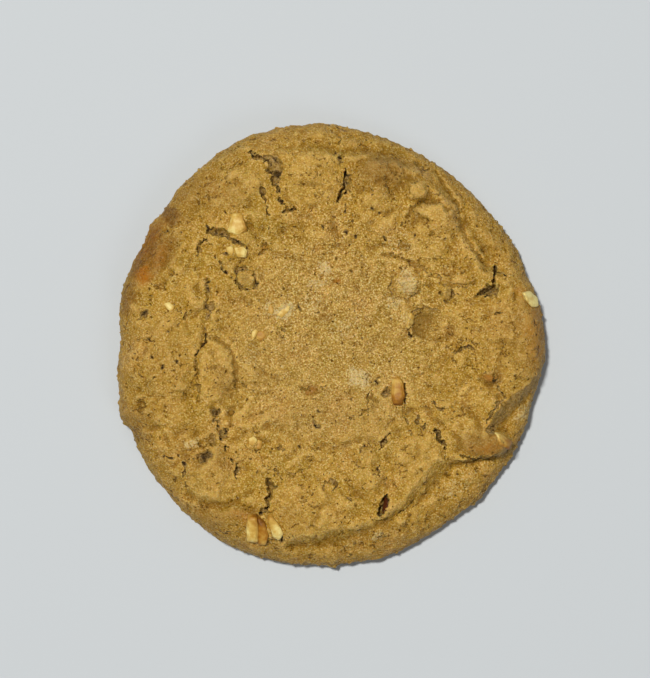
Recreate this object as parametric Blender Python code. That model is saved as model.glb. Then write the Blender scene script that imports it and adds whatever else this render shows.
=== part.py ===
"""A round peanut butter cookie with chopped peanuts, at its real size.

The dough is one solid: a flat base, a rounded side, and a top whose height at any point comes from
surface_height, which adds up a pressed middle, lumps, pits, fissures and the low skirt that the dough
ran out into on one side. The peanut pieces that stand out of the dough are fused to it.

Lengths are in millimetres up to the last step, which turns them into metres. X runs from left to right,
Y from the front edge to the back edge, Z is up, and the origin is under the middle of the cookie.
"""

import bmesh
import bpy
import numpy as np
from mathutils import Matrix, Vector, geometry, noise

METRES = 0.001

# ---------------------------------------------------------------------------------------------------
# Driving dimensions
# ---------------------------------------------------------------------------------------------------
COOKIE_WIDTH = 85.4  # left to right
CROWN_HEIGHT = 11.2  # top of the raised ring round the middle
PRESSED_DEPTH = 0.7  # how far the middle lies below that ring
PRESSED_RADIUS = 19.0  # the middle is level to here
PRESSED_RIM = 31.0  # and has risen to the crown here
BELT_HEIGHT = 3.4  # height at which the side stands out furthest
FOOT_INSET = 1.5  # the flat base ends this far inside the belt
ROLL_LENGTH = 7.0  # the top starts to roll over this far inside the belt

# The outline seen from above: its distance from the middle every 15 degrees, from the right edge round
# by the back. A smooth curve runs through these.
OUTLINE_RADII = (
    (42.8, 42.1, 41.7, 41.5, 42.2, 42.9)
    + (44.3, 44.8, 44.5, 43.8, 42.9, 43.1)
    + (42.6, 43.4, 43.9, 44.2, 44.7, 44.4)
    + (43.7, 43.3, 42.3, 42.2, 42.2, 41.9)
)
# Small bulges and dents on that curve: direction in degrees, reach, half spread.
OUTLINE_BULGES = (
    (10, 0.2, 2),
    (21, -0.4, 3),
    (62, -0.3, 4),
    (93, 0.2, 3),
    (113, 0.4, 5),
    (141, -0.4, 3),
    (146, 0.4, 3),
    (178, -0.5, 4),
    (198, 0.9, 3.5),
    (204, -0.4, 2.5),
    (270, 0.5, 1.5),
    (314, 0.4, 3),
    (346, -0.3, 3),
)
OUTLINE_UNEVENNESS = 0.2  # random, on top of those
OUTLINE_UNEVEN_SPACING = 4.5
# How far inside the belt the top starts to roll over, where that differs: direction, extra, half spread.
ROLL_CHANGES = (
    (0, -2.6, 22),
    (142, 5.0, 28),
    (222, 1.5, 25),
)

# ---------------------------------------------------------------------------------------------------
# Main forms of the top
# ---------------------------------------------------------------------------------------------------
# The skirt is the low band of dough outside the thick middle. Each row is a direction, the distance of
# the thick middle's edge from the centre, and the drop from there to the skirt. The edge leaves the
# skirt between 18 and -9 degrees, where the thick middle reaches the outline as a steep lobe, and the
# tongue of thick dough at -29 to -40 degrees crosses it almost to the outline.
SKIRT = (
    (-112, 40.6, 0.0),
    (-104, 39.9, 0.8),
    (-97, 38.4, 1.6),
    (-90, 37.7, 1.8),
    (-81, 37.0, 1.9),
    (-75, 35.8, 1.9),
    (-66, 34.9, 2.0),
    (-55, 33.7, 2.2),
    (-48, 32.9, 2.2),
    (-44, 32.8, 2.0),
    (-40, 35.2, 2.0),
    (-36, 37.6, 1.8),
    (-31.5, 40.4, 1.8),
    (-29.3, 40.8, 2.4),
    (-27.8, 35.9, 3.4),
    (-24, 36.0, 3.6),
    (-19, 37.1, 3.6),
    (-14, 39.0, 3.4),
    (-11, 40.5, 2.6),
    (-7.5, 42.0, 0.0),
    (18, 38.0, 0.0),
    (24, 35.8, 1.3),
    (29, 34.5, 1.8),
    (35, 34.3, 2.0),
    (42, 34.7, 2.0),
    (47, 36.8, 1.8),
    (54, 38.0, 1.5),
    (61, 39.4, 1.3),
    (75, 38.9, 1.3),
    (89, 38.1, 1.2),
    (98, 39.2, 0.9),
    (106, 40.4, 0.0),
)
SKIRT_STEP_SHARE = 0.45  # the step is this much of its drop wide, and the length below more
SKIRT_STEP_WIDTH = 0.4
SKIRT_GROOVE_SHARE = 0.22  # the groove at the foot of the step is this much of its drop deep
SKIRT_GROOVE_WIDTH = 1.0

# Rounded lumps that stand out of the top: x, y, half length, half width, turn in degrees, height.
# A negative height is a shallow hollow.
LUMPS = {
    "back_knob": (10.3, 33.9, 4.6, 3.0, -8, 1.2),
    "back_panel": (-4.4, 33.0, 6.6, 6.0, 0, 0.8),
    "back_left_shoulder": (-19.0, 31.0, 5.0, 4.0, 30, 0.8),
    "back_right_panel": (20.0, 21.5, 7.5, 5.5, -50, 0.8),
    "eyebrow": (19.4, 26.6, 3.7, 1.5, -8, 0.7),
    "back_right_bead": (17.2, 30.3, 2.0, 1.8, 0, 0.6),
    "left_knob": (-32.2, 25.6, 2.4, 2.0, 0, 0.9),
    "left_shoulder": (-36.6, 15.5, 3.0, 6.0, 20, 1.2),
    "left_panel": (-32.0, -2.0, 6.5, 10.0, 0, 0.7),
    "left_lens": (-22.4, -5.6, 3.9, 6.6, -8, 0.9),
    "front_left_panel": (-26.0, -27.0, 8.0, 6.0, -40, 0.6),
    "front_panel": (0.0, -31.0, 9.5, 6.0, 0, 0.8),
    "front_right_panel": (16.5, -22.0, 6.5, 5.0, 50, 0.9),
    "right_lobe": (36.0, 0.5, 7.0, 10.0, 0, 0.8),
    "right_tongue": (30.5, -19.4, 5.5, 2.6, -10, 1.0),
    "middle_right": (14.8, 12.4, 2.7, 3.8, 10, 0.5),
    "middle_low": (4.8, -12.0, 2.6, 2.6, 0, 0.4),
    "right_bead": (31.2, -6.6, 1.7, 1.2, -20, 0.5),
    "right_valley": (22.0, -1.5, 4.2, 3.4, 50, -0.8),
    "left_valley": (-20.5, -14.0, 3.0, 7.0, 15, -0.6),
    "recess_shelf": (20.6, 3.4, 4.6, 3.2, 0, -0.9),
    "left_blister": (-16.9, 13.2, 1.7, 1.6, 0, 0.9),
    "right_blister": (22.7, 10.5, 1.2, 1.7, 0, 0.8),
    "front_blister": (7.4, -22.0, 2.0, 1.7, 0, 0.8),
}
LUMP_REACH = 1.35  # a lump fades out at this share of its size

# Steep-sided pits: x, y, half length, half width, turn in degrees, depth.
PITS = {
    "left_edge_hole": (-37.0, 5.9, 1.5, 0.9, 8, 1.7),
    "left_dimple": (-24.1, 7.6, 1.5, 1.2, 20, 0.8),
    "lens_foot": (-22.4, -13.2, 1.1, 1.6, 0, 1.6),
    "front_left_pit": (-25.4, -21.9, 1.9, 1.6, 20, 1.9),
    "front_left_hole": (-21.3, -17.4, 0.9, 1.5, 0, 1.2),
    "front_left_dimple": (-22.9, -18.8, 1.0, 0.7, 20, 0.8),
    "middle_right_recess": (17.4, 3.7, 2.0, 3.1, -15, 1.6),
    "peanut_side_pit": (10.9, -9.3, 0.9, 1.5, -5, 1.5),
    "peanut_side_hole": (9.1, -7.6, 0.6, 0.9, 0, 1.5),
    "small_ring_pit": (8.0, -10.7, 1.3, 1.2, 0, 0.7),
    "front_right_dimple": (15.9, -14.8, 1.3, 1.2, 0, 0.8),
    "right_pit": (21.8, -12.7, 1.2, 0.8, -5, 1.1),
    "front_hole": (-9.9, -38.1, 1.3, 1.0, 30, 1.6),
    "middle_hole": (-2.9, -15.6, 0.7, 0.5, 0, 1.0),
    "tongue_pit": (31.7, -16.4, 1.3, 1.9, -30, 1.2),
    "left_blister_ring": (-16.9, 13.2, 2.6, 2.5, 0, 1.0),
    "right_blister_ring": (22.8, 10.6, 1.9, 2.5, 0, 0.9),
    "front_blister_ring": (8.1, -21.9, 3.7, 2.9, 0, 0.9),
}
PIT_FLOOR_SHARE = 0.45  # a pit's floor is this share of its size

# Open fissures: depth, then the points x, y, width that the crack runs through.
FISSURES = {
    "back_left": (
        2.4,
        ((-15.4, 38.3, 0.6), (-13.8, 36.7, 0.9), (-12.1, 36.4, 1.9))
        + ((-11.5, 34.3, 2.1), (-11.0, 32.2, 1.6), (-10.3, 30.4, 0.7)),
    ),
    "back_left_end": (1.5, ((-9.7, 28.7, 0.7), (-8.6, 26.9, 1.1), (-7.0, 26.5, 0.6))),
    "back_left_branch": (1.2, ((-13.4, 30.6, 0.8), (-13.2, 28.6, 0.7), (-12.6, 26.0, 0.6))),
    "back": (
        2.4,
        ((3.1, 35.0, 0.8), (2.6, 33.4, 1.1), (2.9, 31.5, 2.0), (1.7, 29.8, 1.1), (1.0, 27.9, 0.8)),
    ),
    "right": (
        2.6,
        ((32.3, 15.3, 0.8), (31.9, 12.6, 1.0), (31.5, 10.9, 2.2), (30.2, 10.2, 1.6), (28.9, 9.9, 0.8)),
    ),
    "right_arc": (0.9, ((24.9, -1.1, 0.7), (26.4, 0.0, 0.8), (28.3, -0.6, 0.6))),
    "front_right": (1.8, ((20.6, -16.5, 0.7), (21.6, -18.3, 1.1), (22.4, -20.0, 0.7))),
    "front_slit": (3.0, ((10.9, -29.8, 0.8), (10.3, -31.8, 1.7), (9.5, -33.8, 0.9))),
    "front_left": (
        2.4,
        ((-13.5, -25.3, 0.6), (-12.0, -26.8, 1.3), (-11.7, -29.0, 1.8))
        + ((-12.0, -31.0, 1.4), (-13.6, -32.6, 0.7)),
    ),
    "front_middle": (1.0, ((-8.4, -25.7, 0.7), (-7.0, -25.3, 0.7), (-5.5, -24.6, 0.6))),
    "middle_low": (1.3, ((9.5, -20.3, 0.9), (10.7, -18.8, 0.9), (11.7, -17.9, 0.6))),
    "left_back": (
        1.6,
        ((-24.3, 23.4, 0.8), (-24.3, 21.4, 0.7), (-25.4, 19.8, 0.9), (-26.5, 18.3, 0.6)),
    ),
    "left_back_peanut": (
        1.5,
        ((-23.2, 22.5, 0.9), (-21.6, 22.3, 1.4), (-19.5, 21.3, 0.8), (-16.7, 19.3, 0.6)),
    ),
    "left": (
        1.3,
        ((-24.9, 2.3, 0.7), (-25.1, 0.4, 0.7), (-26.4, -1.8, 0.6), (-26.7, -5.2, 0.9), (-26.1, -9.6, 0.6)),
    ),
    "front_left_low": (1.0, ((-20.3, -21.5, 0.6), (-18.3, -23.8, 0.9), (-18.6, -26.3, 0.6))),
}
FISSURE_FLOOR_SHARE = 0.2  # a crack's floor is this share of its width
LEAST_FLOOR = 2.0  # no crack or pit goes lower than this over the base

# Gentle unevenness all over the top.
UNEVEN_SPACING = 5.5
UNEVEN_HEIGHT = 0.45
UNEVEN_OCTAVES = 2

# Peanut pieces that stand out of the dough: x, y, half length, half width, turn in degrees, how far
# they stand out. Chopped nuts break into blocks with flat faces, so each is a block whose corners are
# cut off by a few planes.
PEANUTS = {
    "back_left_wedge": (-18.3, 23.9, 2.5, 1.9, 95, 0.7),
    "back_left_chip": (-18.2, 18.5, 1.8, 1.1, 10, 0.4),
    "right_edge_chip": (39.0, 9.6, 1.9, 1.3, -35, 0.7),
    "left_chip": (-32.3, 7.9, 1.1, 0.8, -30, 0.4),
    "middle_left_piece": (-14.6, 2.4, 1.7, 1.3, 70, 0.4),
    "middle_strip": (-12.4, 7.6, 1.5, 0.7, 80, 0.3),
    "middle_right_long": (13.2, -9.0, 3.1, 1.3, 92, 0.8),
    "recess_edge_piece": (15.0, 5.0, 1.7, 0.9, 85, 0.4),
    "front_left_block": (-15.0, -36.0, 3.2, 1.9, 86, 1.0),
    "front_left_sliver": (-11.1, -35.6, 2.6, 1.2, -68, 0.8),
    "front_left_patch": (-15.1, -19.2, 1.6, 1.2, -50, 0.4),
    "tongue_tip": (34.4, -18.9, 2.1, 1.4, -30, 0.8),
}
PEANUT_HALF_THICKNESS = 1.3
PEANUT_SEED = 4
PEANUT_CUTS = 8
PEANUT_CUT_REACH = (0.9, 1.2)  # nearest and furthest cut from the middle, as shares of the half size

# Colours, as linear red, green and blue.
DOUGH_COLOUR = (0.42, 0.26, 0.065)
PEANUT_COLOUR = (0.66, 0.42, 0.16)

# ---------------------------------------------------------------------------------------------------
# Fineness of the mesh
# ---------------------------------------------------------------------------------------------------
RIM_STEPS = 132  # points round the outline
RIM_RINGS = (0.25, 0.9, 1.9, 3.1)  # rings of points this far inside the belt
TOP_SPACING = 1.55  # between the points spread over the top
FISSURE_SPACING = 1.1
STEP_SPACING = 1.4
MIDDLE_RADIUS = 36.0  # of the step, for counting the points along it
LEAST_STEP = 0.3  # a lower step gets no points of its own
PIT_STEPS = 8
BASE_SPACING = 12.0
LIP_SHARE = 0.52  # the points along a crack's lips stand this share of its width from its middle
PIT_SHARES = (0.5, 1.02)  # a pit has two rings of points, at these shares of its size
RELIEF_GAP = 0.28  # points along cracks and pits keep at least this far apart
RIM_GAP = 0.4  # and this far from the last ring of the rim
CLEARANCE_SHARE = 0.5  # spread points keep this share of their spacing from the points along a crack
GOLDEN_TURN = np.pi * (3 - np.sqrt(5))
ROW_SHARE = np.sqrt(3) / 2  # rows of evenly spread points lie this share of their spacing apart
SIDE_SHARES = (1 / 3, 2 / 3, 1)  # of the quarter turn from the belt down to the base
SAME_POINT = 1e-6  # points closer than this would be one


def smooth_step(low, high, value):
    """0 below low, 1 above high, and an S-shaped ramp between."""
    t = np.clip((value - low) / (high - low), 0, 1)
    return t * t * (3 - 2 * t)


def smooth_closed_curve(values, angle):
    """A curve through values that are evenly spaced round the circle, with no kink at any of them."""
    values = np.array(values)
    place = angle / (2 * np.pi) * len(values)
    start = np.floor(place).astype(int)
    t = place - start
    before, here, after, next_one = (values[(start + k) % len(values)] for k in (-1, 0, 1, 2))
    bend = 2 * before - 5 * here + 4 * after - next_one
    twist = 3 * (here - after) + next_one - before
    return here + t * ((after - before) + t * (bend + t * twist)) / 2


def around(rows, angle):
    """The sum, at each angle, of bell-shaped changes given as direction, amount and half spread."""
    total = np.zeros_like(angle)
    for direction, amount, spread in rows:
        away = (np.degrees(angle) - direction + 180) % 360 - 180
        total += amount * np.exp(-((away / spread) ** 2))
    return total


def raw_radius(angle):
    reach = np.mean(OUTLINE_RADII) / OUTLINE_UNEVEN_SPACING
    places = zip(reach * np.cos(angle), reach * np.sin(angle))
    uneven = OUTLINE_UNEVENNESS * np.array([noise.noise((u, v, 0)) for u, v in places])
    return smooth_closed_curve(OUTLINE_RADII, angle) + around(OUTLINE_BULGES, angle) + uneven


def outline_fit():
    """The scale that gives the outline its width, and the pole that puts its box's centre at the origin."""
    angle = np.radians(np.arange(0, 360, 0.25))
    x = raw_radius(angle) * np.cos(angle)
    y = raw_radius(angle) * np.sin(angle)
    scale = COOKIE_WIDTH / np.ptp(x)
    return scale, -scale * (x.max() + x.min()) / 2, -scale * (y.max() + y.min()) / 2


OUTLINE_SCALE, POLE_X, POLE_Y = outline_fit()


def outline_radius(angle):
    return OUTLINE_SCALE * raw_radius(angle)


def polar(x, y):
    return np.hypot(x - POLE_X, y - POLE_Y), np.arctan2(y - POLE_Y, x - POLE_X)


def turned(x, y, centre_x, centre_y, turn):
    """Coordinates along and across an oval that is turned by some degrees."""
    c = np.cos(np.radians(turn))
    s = np.sin(np.radians(turn))
    return (x - centre_x) * c + (y - centre_y) * s, (y - centre_y) * c - (x - centre_x) * s


def skirt_step(angle):
    """The thick middle's edge at each angle: distance from the centre, drop, and half the step's width."""
    direction, edge, drop = np.array(SKIRT).T
    here_drop = np.interp(np.degrees(angle), direction, drop)
    half_width = (SKIRT_STEP_WIDTH + SKIRT_STEP_SHARE * here_drop) / 2
    return np.interp(np.degrees(angle), direction, edge), here_drop, half_width


def skirt_drop(radius, angle):
    """How far the skirt lies below the thick middle, with a groove along the foot of the step."""
    edge, drop, half_width = skirt_step(angle)
    past_foot = (radius - edge - half_width) / SKIRT_GROOVE_WIDTH
    groove = SKIRT_GROOVE_SHARE * drop * np.exp(-(past_foot**2))
    return drop * smooth_step(edge - half_width, edge + half_width, radius) + groove


def oval_reach(x, y, oval):
    """Distance from an oval's centre as a share of its size there: 1 on its edge."""
    along, across = turned(x, y, oval[0], oval[1], oval[4])
    return np.hypot(along / oval[2], across / oval[3])


def fissure_depth(x, y, depth, path):
    """Depth of a V-shaped crack that follows a path, widest and deepest where the path says."""
    widest = max(width for _, _, width in path)
    cut = np.zeros_like(x)
    for (ax, ay, aw), (bx, by, bw) in zip(path, path[1:]):
        length = np.hypot(bx - ax, by - ay)
        t = np.clip(((x - ax) * (bx - ax) + (y - ay) * (by - ay)) / length**2, 0, 1)
        width = aw + (bw - aw) * t
        reach = np.hypot(x - ax - (bx - ax) * t, y - ay - (by - ay) * t) / (width / 2)
        local = depth * np.sqrt(width / widest) * (1 - smooth_step(FISSURE_FLOOR_SHARE, 1, reach))
        cut = np.maximum(cut, local)
    return cut


def unevenness(x, y):
    """Random gentle swells, the same on each run."""
    places = zip(x / UNEVEN_SPACING, y / UNEVEN_SPACING)
    return UNEVEN_HEIGHT * np.array([noise.fractal((u, v, 0), 1.0, 2.0, UNEVEN_OCTAVES) for u, v in places])


def surface_height(x, y):
    """Height of the cookie's top over its base."""
    radius, angle = polar(x, y)
    top = CROWN_HEIGHT - PRESSED_DEPTH * (1 - smooth_step(PRESSED_RADIUS, PRESSED_RIM, radius))
    top = top + unevenness(x, y)
    top = top - skirt_drop(radius, angle)
    for lump in LUMPS.values():
        top = top + lump[5] * (1 - smooth_step(0, LUMP_REACH, oval_reach(x, y, lump)))
    roll = ROLL_LENGTH + around(ROLL_CHANGES, angle)
    inset = np.clip((outline_radius(angle) - radius) / roll, 0, 1)
    height = BELT_HEIGHT + (top - BELT_HEIGHT) * np.sqrt(1 - (1 - inset) ** 2)
    cut = np.zeros_like(x)
    for pit in PITS.values():
        cut = np.maximum(cut, pit[5] * (1 - smooth_step(PIT_FLOOR_SHARE, 1, oval_reach(x, y, pit))))
    for depth, path in FISSURES.values():
        cut = np.maximum(cut, fissure_depth(x, y, depth, path))
    return np.maximum(height - cut, np.minimum(height, LEAST_FLOOR))


def along_path(path, spacing):
    """Points along a path with their widths and the direction across it."""
    points = []
    for (ax, ay, aw), (bx, by, bw) in zip(path, path[1:]):
        length = np.hypot(bx - ax, by - ay)
        steps = max(1, round(length / spacing))
        side = ((ay - by) / length, (bx - ax) / length)
        for k in range(steps):
            t = (k + 0.5) / steps
            points.append((ax + (bx - ax) * t, ay + (by - ay) * t, aw + (bw - aw) * t, side))
    return points


def step_points():
    """Points along the top and the foot of the step down to the skirt."""
    first, last = SKIRT[0][0], SKIRT[-1][0]
    count = round(np.radians(last - first) * MIDDLE_RADIUS / STEP_SPACING)
    angle = np.radians(np.linspace(first, last, count))
    edge, drop, half_width = skirt_step(angle)
    both = np.concatenate([edge - half_width, edge + half_width])
    twice = np.concatenate([angle, angle])
    deep = np.concatenate([drop, drop]) > LEAST_STEP
    points = np.stack([POLE_X + both * np.cos(twice), POLE_Y + both * np.sin(twice)], 1)
    return [tuple(p) for p in points[deep]]


def relief_points():
    """The points that the cracks, pits and the step need: their lips and their floors."""
    points = step_points()
    for _, path in FISSURES.values():
        for x, y, width, (sx, sy) in along_path(path, FISSURE_SPACING):
            for offset in (-LIP_SHARE * width, 0, LIP_SHARE * width):
                points.append((x + sx * offset, y + sy * offset))
        points.append(path[0][:2])
        points.append(path[-1][:2])
    for x, y, length, width, turn, _ in PITS.values():
        points.append((x, y))
        c, s = np.cos(np.radians(turn)), np.sin(np.radians(turn))
        for ring, share in enumerate(PIT_SHARES):
            for k in range(PIT_STEPS):
                # The second ring's points stand between those of the first.
                a = 2 * np.pi * (k + ring / 2) / PIT_STEPS
                along, across = length * share * np.cos(a), width * share * np.sin(a)
                points.append((x + along * c - across * s, y + along * s + across * c))
    return np.array(points)


def thinned(points, gap):
    """The points in order, without those closer than the gap to one before."""
    kept = []
    for point in points:
        if not kept or np.min(np.hypot(*(np.array(kept) - point).T)) > gap:
            kept.append(point)
    return np.array(kept)


def spread_points(outer_inset, spacing):
    """Points spread evenly over the outline's inside, along a sunflower's spiral."""
    reach = outline_radius(np.radians(np.arange(0, 360, 5.0))).max()
    count = int(np.pi * reach**2 / (spacing**2 * ROW_SHARE))
    n = np.arange(count) + 0.5
    radius = reach * np.sqrt(n / count)
    angle = (n * GOLDEN_TURN + np.pi) % (2 * np.pi) - np.pi
    inside = radius < outline_radius(angle) - outer_inset
    return np.stack([POLE_X + radius * np.cos(angle), POLE_Y + radius * np.sin(angle)], 1)[inside]


def ring_points(inset):
    angle = (np.arange(RIM_STEPS) + 0.5) * 2 * np.pi / RIM_STEPS - np.pi
    radius = outline_radius(angle) - inset
    return np.stack([POLE_X + radius * np.cos(angle), POLE_Y + radius * np.sin(angle)], 1)


def filled(ring, inside):
    """Triangles over the inside of a ring of points, through the points given inside it."""
    inside_only = 1
    points = [Vector(p) for p in np.concatenate([ring, inside])]
    border = [list(range(len(ring)))]
    verts, _, faces, _, _, _ = geometry.delaunay_2d_cdt(points, [], border, inside_only, SAME_POINT)
    return np.array([v[:] for v in verts]), faces


def top_sheet():
    """The top as points and triangles. Its first points are those of the belt, in order."""
    relief = thinned(relief_points(), RELIEF_GAP)
    rings = [ring_points(inset) for inset in RIM_RINGS]
    last_ring = RIM_RINGS[-1]
    radius, angle = polar(*relief.T)
    relief = relief[radius < outline_radius(angle) - last_ring - RIM_GAP]
    spread = spread_points(last_ring + TOP_SPACING / 2, TOP_SPACING)
    gaps = np.min(np.hypot(*(spread[:, None] - relief[None]).transpose(2, 0, 1)), axis=1)
    spread = spread[gaps > CLEARANCE_SHARE * TOP_SPACING]
    flat, faces = filled(ring_points(0), np.concatenate([*rings, relief, spread]))
    height = surface_height(flat[:, 0], flat[:, 1])
    return np.column_stack([flat, height]), faces


def dough_mesh():
    """The closed dough: top, lower side and flat base, sharing their rings of points."""
    top, faces = top_sheet()
    build = bmesh.new()
    verts = [build.verts.new(p) for p in top]
    for face in faces:
        build.faces.new([verts[i] for i in face])
    ring = verts[:RIM_STEPS]
    for share in SIDE_SHARES:
        # A quarter of an oval leads from the belt in and down to the base.
        inset = FOOT_INSET * (1 - np.cos(share * np.pi / 2))
        height = BELT_HEIGHT * (1 - np.sin(share * np.pi / 2))
        lower = [build.verts.new((x, y, height)) for x, y in ring_points(inset)]
        for k in range(RIM_STEPS):
            n = (k + 1) % RIM_STEPS
            build.faces.new([lower[k], lower[n], ring[n], ring[k]])
        ring = lower
    foot = ring_points(FOOT_INSET)
    base, base_faces = filled(foot, spread_points(FOOT_INSET + BASE_SPACING / 3, BASE_SPACING))
    base_verts = ring + [build.verts.new((x, y, 0)) for x, y in base[RIM_STEPS:]]
    for face in base_faces:
        build.faces.new([base_verts[i] for i in reversed(face)])
    bmesh.ops.recalc_face_normals(build, faces=build.faces)
    mesh = bpy.data.meshes.new("cookie")
    build.to_mesh(mesh)
    build.free()
    return mesh


def peanut_mesh(name, row, random):
    """A chopped piece of nut: a block with flat cuts, partly sunk in the dough."""
    x, y, length, width, turn, proud = row
    build = bmesh.new()
    bmesh.ops.create_cube(build, size=2)
    for _ in range(PEANUT_CUTS):
        away = Vector(random.normal(size=3)).normalized()
        everything = build.verts[:] + build.edges[:] + build.faces[:]
        bmesh.ops.bisect_plane(
            build,
            geom=everything,
            plane_co=away * random.uniform(*PEANUT_CUT_REACH),
            plane_no=away,
            clear_outer=True,
        )
        edges = [e for e in build.edges if e.is_boundary]
        bmesh.ops.holes_fill(build, edges=edges)
    bmesh.ops.triangulate(build, faces=build.faces)
    corners = np.array([v.co for v in build.verts])
    low, high = corners.min(0), corners.max(0)
    size = Matrix.Diagonal((2 * length, 2 * width, 2 * PEANUT_HALF_THICKNESS, 1))
    fit = Matrix.Diagonal((*(1 / (high - low)), 1)) @ Matrix.Translation(-(low + high) / 2)
    height = surface_height(np.array([x]), np.array([y]))[0] + proud - PEANUT_HALF_THICKNESS
    place = Matrix.Translation((x, y, height)) @ Matrix.Rotation(np.radians(turn), 4, "Z")
    build.transform(place @ size @ fit)
    mesh = bpy.data.meshes.new(name)
    build.to_mesh(mesh)
    build.free()
    return mesh


def plain_material(name, colour, roughness):
    material = bpy.data.materials.new(name)
    material.use_nodes = True
    shader = material.node_tree.nodes["Principled BSDF"]
    shader.inputs["Base Color"].default_value = (*colour, 1)
    shader.inputs["Roughness"].default_value = roughness
    shader.inputs["Metallic"].default_value = 0.0
    return material


def placed(mesh, material, collection):
    """An object of one material for a mesh drawn in millimetres."""
    mesh.transform(Matrix.Scale(METRES, 4))
    mesh.materials.append(material)
    thing = bpy.data.objects.new(mesh.name, mesh)
    collection.objects.link(thing)
    return thing


def fuse(body, collection):
    """Joins a collection's objects to the body for good, and clears them away."""
    union = body.modifiers.new("fused_peanuts", "BOOLEAN")
    union.operation = "UNION"
    union.operand_type = "COLLECTION"
    union.collection = collection
    union.solver = "EXACT"
    union.material_mode = "TRANSFER"
    bpy.context.view_layer.update()
    joined = bpy.data.meshes.new_from_object(body.evaluated_get(bpy.context.evaluated_depsgraph_get()))
    body.modifiers.remove(union)
    body.data = joined
    for thing in list(collection.objects):
        bpy.data.objects.remove(thing)
    bpy.data.collections.remove(collection)


def main():
    for thing in list(bpy.data.objects):
        bpy.data.objects.remove(thing)
    scene_collection = bpy.context.scene.collection
    dough = plain_material("baked_dough", DOUGH_COLOUR, 0.75)
    peanut = plain_material("roasted_peanut", PEANUT_COLOUR, 0.5)
    cookie = placed(dough_mesh(), dough, scene_collection)
    pieces = bpy.data.collections.new("peanut_pieces")
    scene_collection.children.link(pieces)
    random = np.random.default_rng(PEANUT_SEED)
    for name, row in PEANUTS.items():
        placed(peanut_mesh(name, row, random), peanut, pieces)
    fuse(cookie, pieces)
    cookie.data.shade_smooth()


main()
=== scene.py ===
"""The looks of a peanut butter cookie: its baked dough and the chopped peanuts in it."""

import bmesh
import bpy
import numpy as np
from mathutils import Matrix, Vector, noise


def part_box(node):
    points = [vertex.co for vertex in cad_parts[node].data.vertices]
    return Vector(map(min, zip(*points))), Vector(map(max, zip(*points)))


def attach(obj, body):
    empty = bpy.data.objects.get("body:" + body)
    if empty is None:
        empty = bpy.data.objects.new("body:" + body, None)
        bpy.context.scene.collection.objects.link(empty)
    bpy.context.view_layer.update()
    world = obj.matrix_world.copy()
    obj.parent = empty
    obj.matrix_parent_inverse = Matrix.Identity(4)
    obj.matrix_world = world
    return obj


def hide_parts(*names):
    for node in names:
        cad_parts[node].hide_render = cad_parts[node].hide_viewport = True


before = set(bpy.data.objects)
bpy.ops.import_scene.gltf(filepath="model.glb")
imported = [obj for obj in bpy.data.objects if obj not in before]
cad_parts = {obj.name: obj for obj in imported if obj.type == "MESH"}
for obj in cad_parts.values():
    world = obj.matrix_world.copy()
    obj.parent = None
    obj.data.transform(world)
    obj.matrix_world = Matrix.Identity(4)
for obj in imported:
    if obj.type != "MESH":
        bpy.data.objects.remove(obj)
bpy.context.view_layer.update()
METRES = 0.001  # sizes below are in millimetres until a mesh is made

# ---- The dough: outline ----
# One ball of peanut butter dough that was pressed flat and spread in the oven. Its edge ran out
# unevenly, so the outline is a smooth closed curve with small bulges, dents and a little raggedness.
cookie_low, cookie_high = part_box("cookie")
COOKIE_WIDTH = (cookie_high.x - cookie_low.x) / METRES
# How far the edge lies from the pole, every 15 degrees from the right round by the back.
OUTLINE_RADII = (
    (42.8, 42.1, 41.7, 41.5, 42.2, 42.9)
    + (44.3, 44.8, 44.5, 43.8, 42.9, 43.1)
    + (42.6, 43.4, 43.9, 44.2, 44.7, 44.4)
    + (43.7, 43.3, 42.3, 42.2, 42.2, 41.9)
)
# Direction in degrees, how far the edge stands out there, and half spread in degrees.
OUTLINE_BULGES = (
    (10, 0.2, 2), (21, -0.4, 3), (62, -0.3, 4), (93, 0.2, 3), (113, 0.4, 5), (141, -0.4, 3),
    (146, 0.4, 3), (178, -0.5, 4), (198, 0.9, 3.5), (204, -0.4, 2.5), (270, 0.5, 1.5), (314, 0.4, 3),
    (346, -0.3, 3),
)
OUTLINE_UNEVENNESS = 0.2
OUTLINE_UNEVEN_SPACING = 4.5
OUTLINE_STEP = 0.25  # degrees between the places where the outline is worked out


def smooth_step(low, high, value):
    """0 below low, 1 above high, and an S-shaped ramp between."""
    t = np.clip((value - low) / (high - low), 0, 1)
    return t * t * (3 - 2 * t)


def each_noise(points, spacing, octaves=1, seed=0.0):
    """Random swells about this far apart, at each point: about -0.7 to 0.7."""
    places = points / spacing + seed
    return np.array([noise.fractal(place, 1.0, 2.0, octaves) for place in places.tolist()])


def smooth_closed_curve(values, angle):
    """A curve through values that are evenly spaced round the circle, with no kink at any of them."""
    values = np.array(values)
    place = angle / (2 * np.pi) * len(values)
    start = np.floor(place).astype(int)
    t = place - start
    before, here, after, next_one = (values[(start + k) % len(values)] for k in (-1, 0, 1, 2))
    bend = 2 * before - 5 * here + 4 * after - next_one
    twist = 3 * (here - after) + next_one - before
    return here + t * ((after - before) + t * (bend + t * twist)) / 2


def around(rows, angle):
    """The sum, at each angle, of bell-shaped changes given as direction, amount and half spread."""
    total = np.zeros_like(angle)
    for direction, amount, spread in rows:
        away = (np.degrees(angle) - direction + 180) % 360 - 180
        total += amount * np.exp(-((away / spread) ** 2))
    return total


def raw_radius(angle):
    reach = np.mean(OUTLINE_RADII)
    ring = np.stack([reach * np.cos(angle), reach * np.sin(angle), 0 * angle], 1)
    uneven = OUTLINE_UNEVENNESS * each_noise(ring, OUTLINE_UNEVEN_SPACING)
    return smooth_closed_curve(OUTLINE_RADII, angle) + around(OUTLINE_BULGES, angle) + uneven


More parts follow.
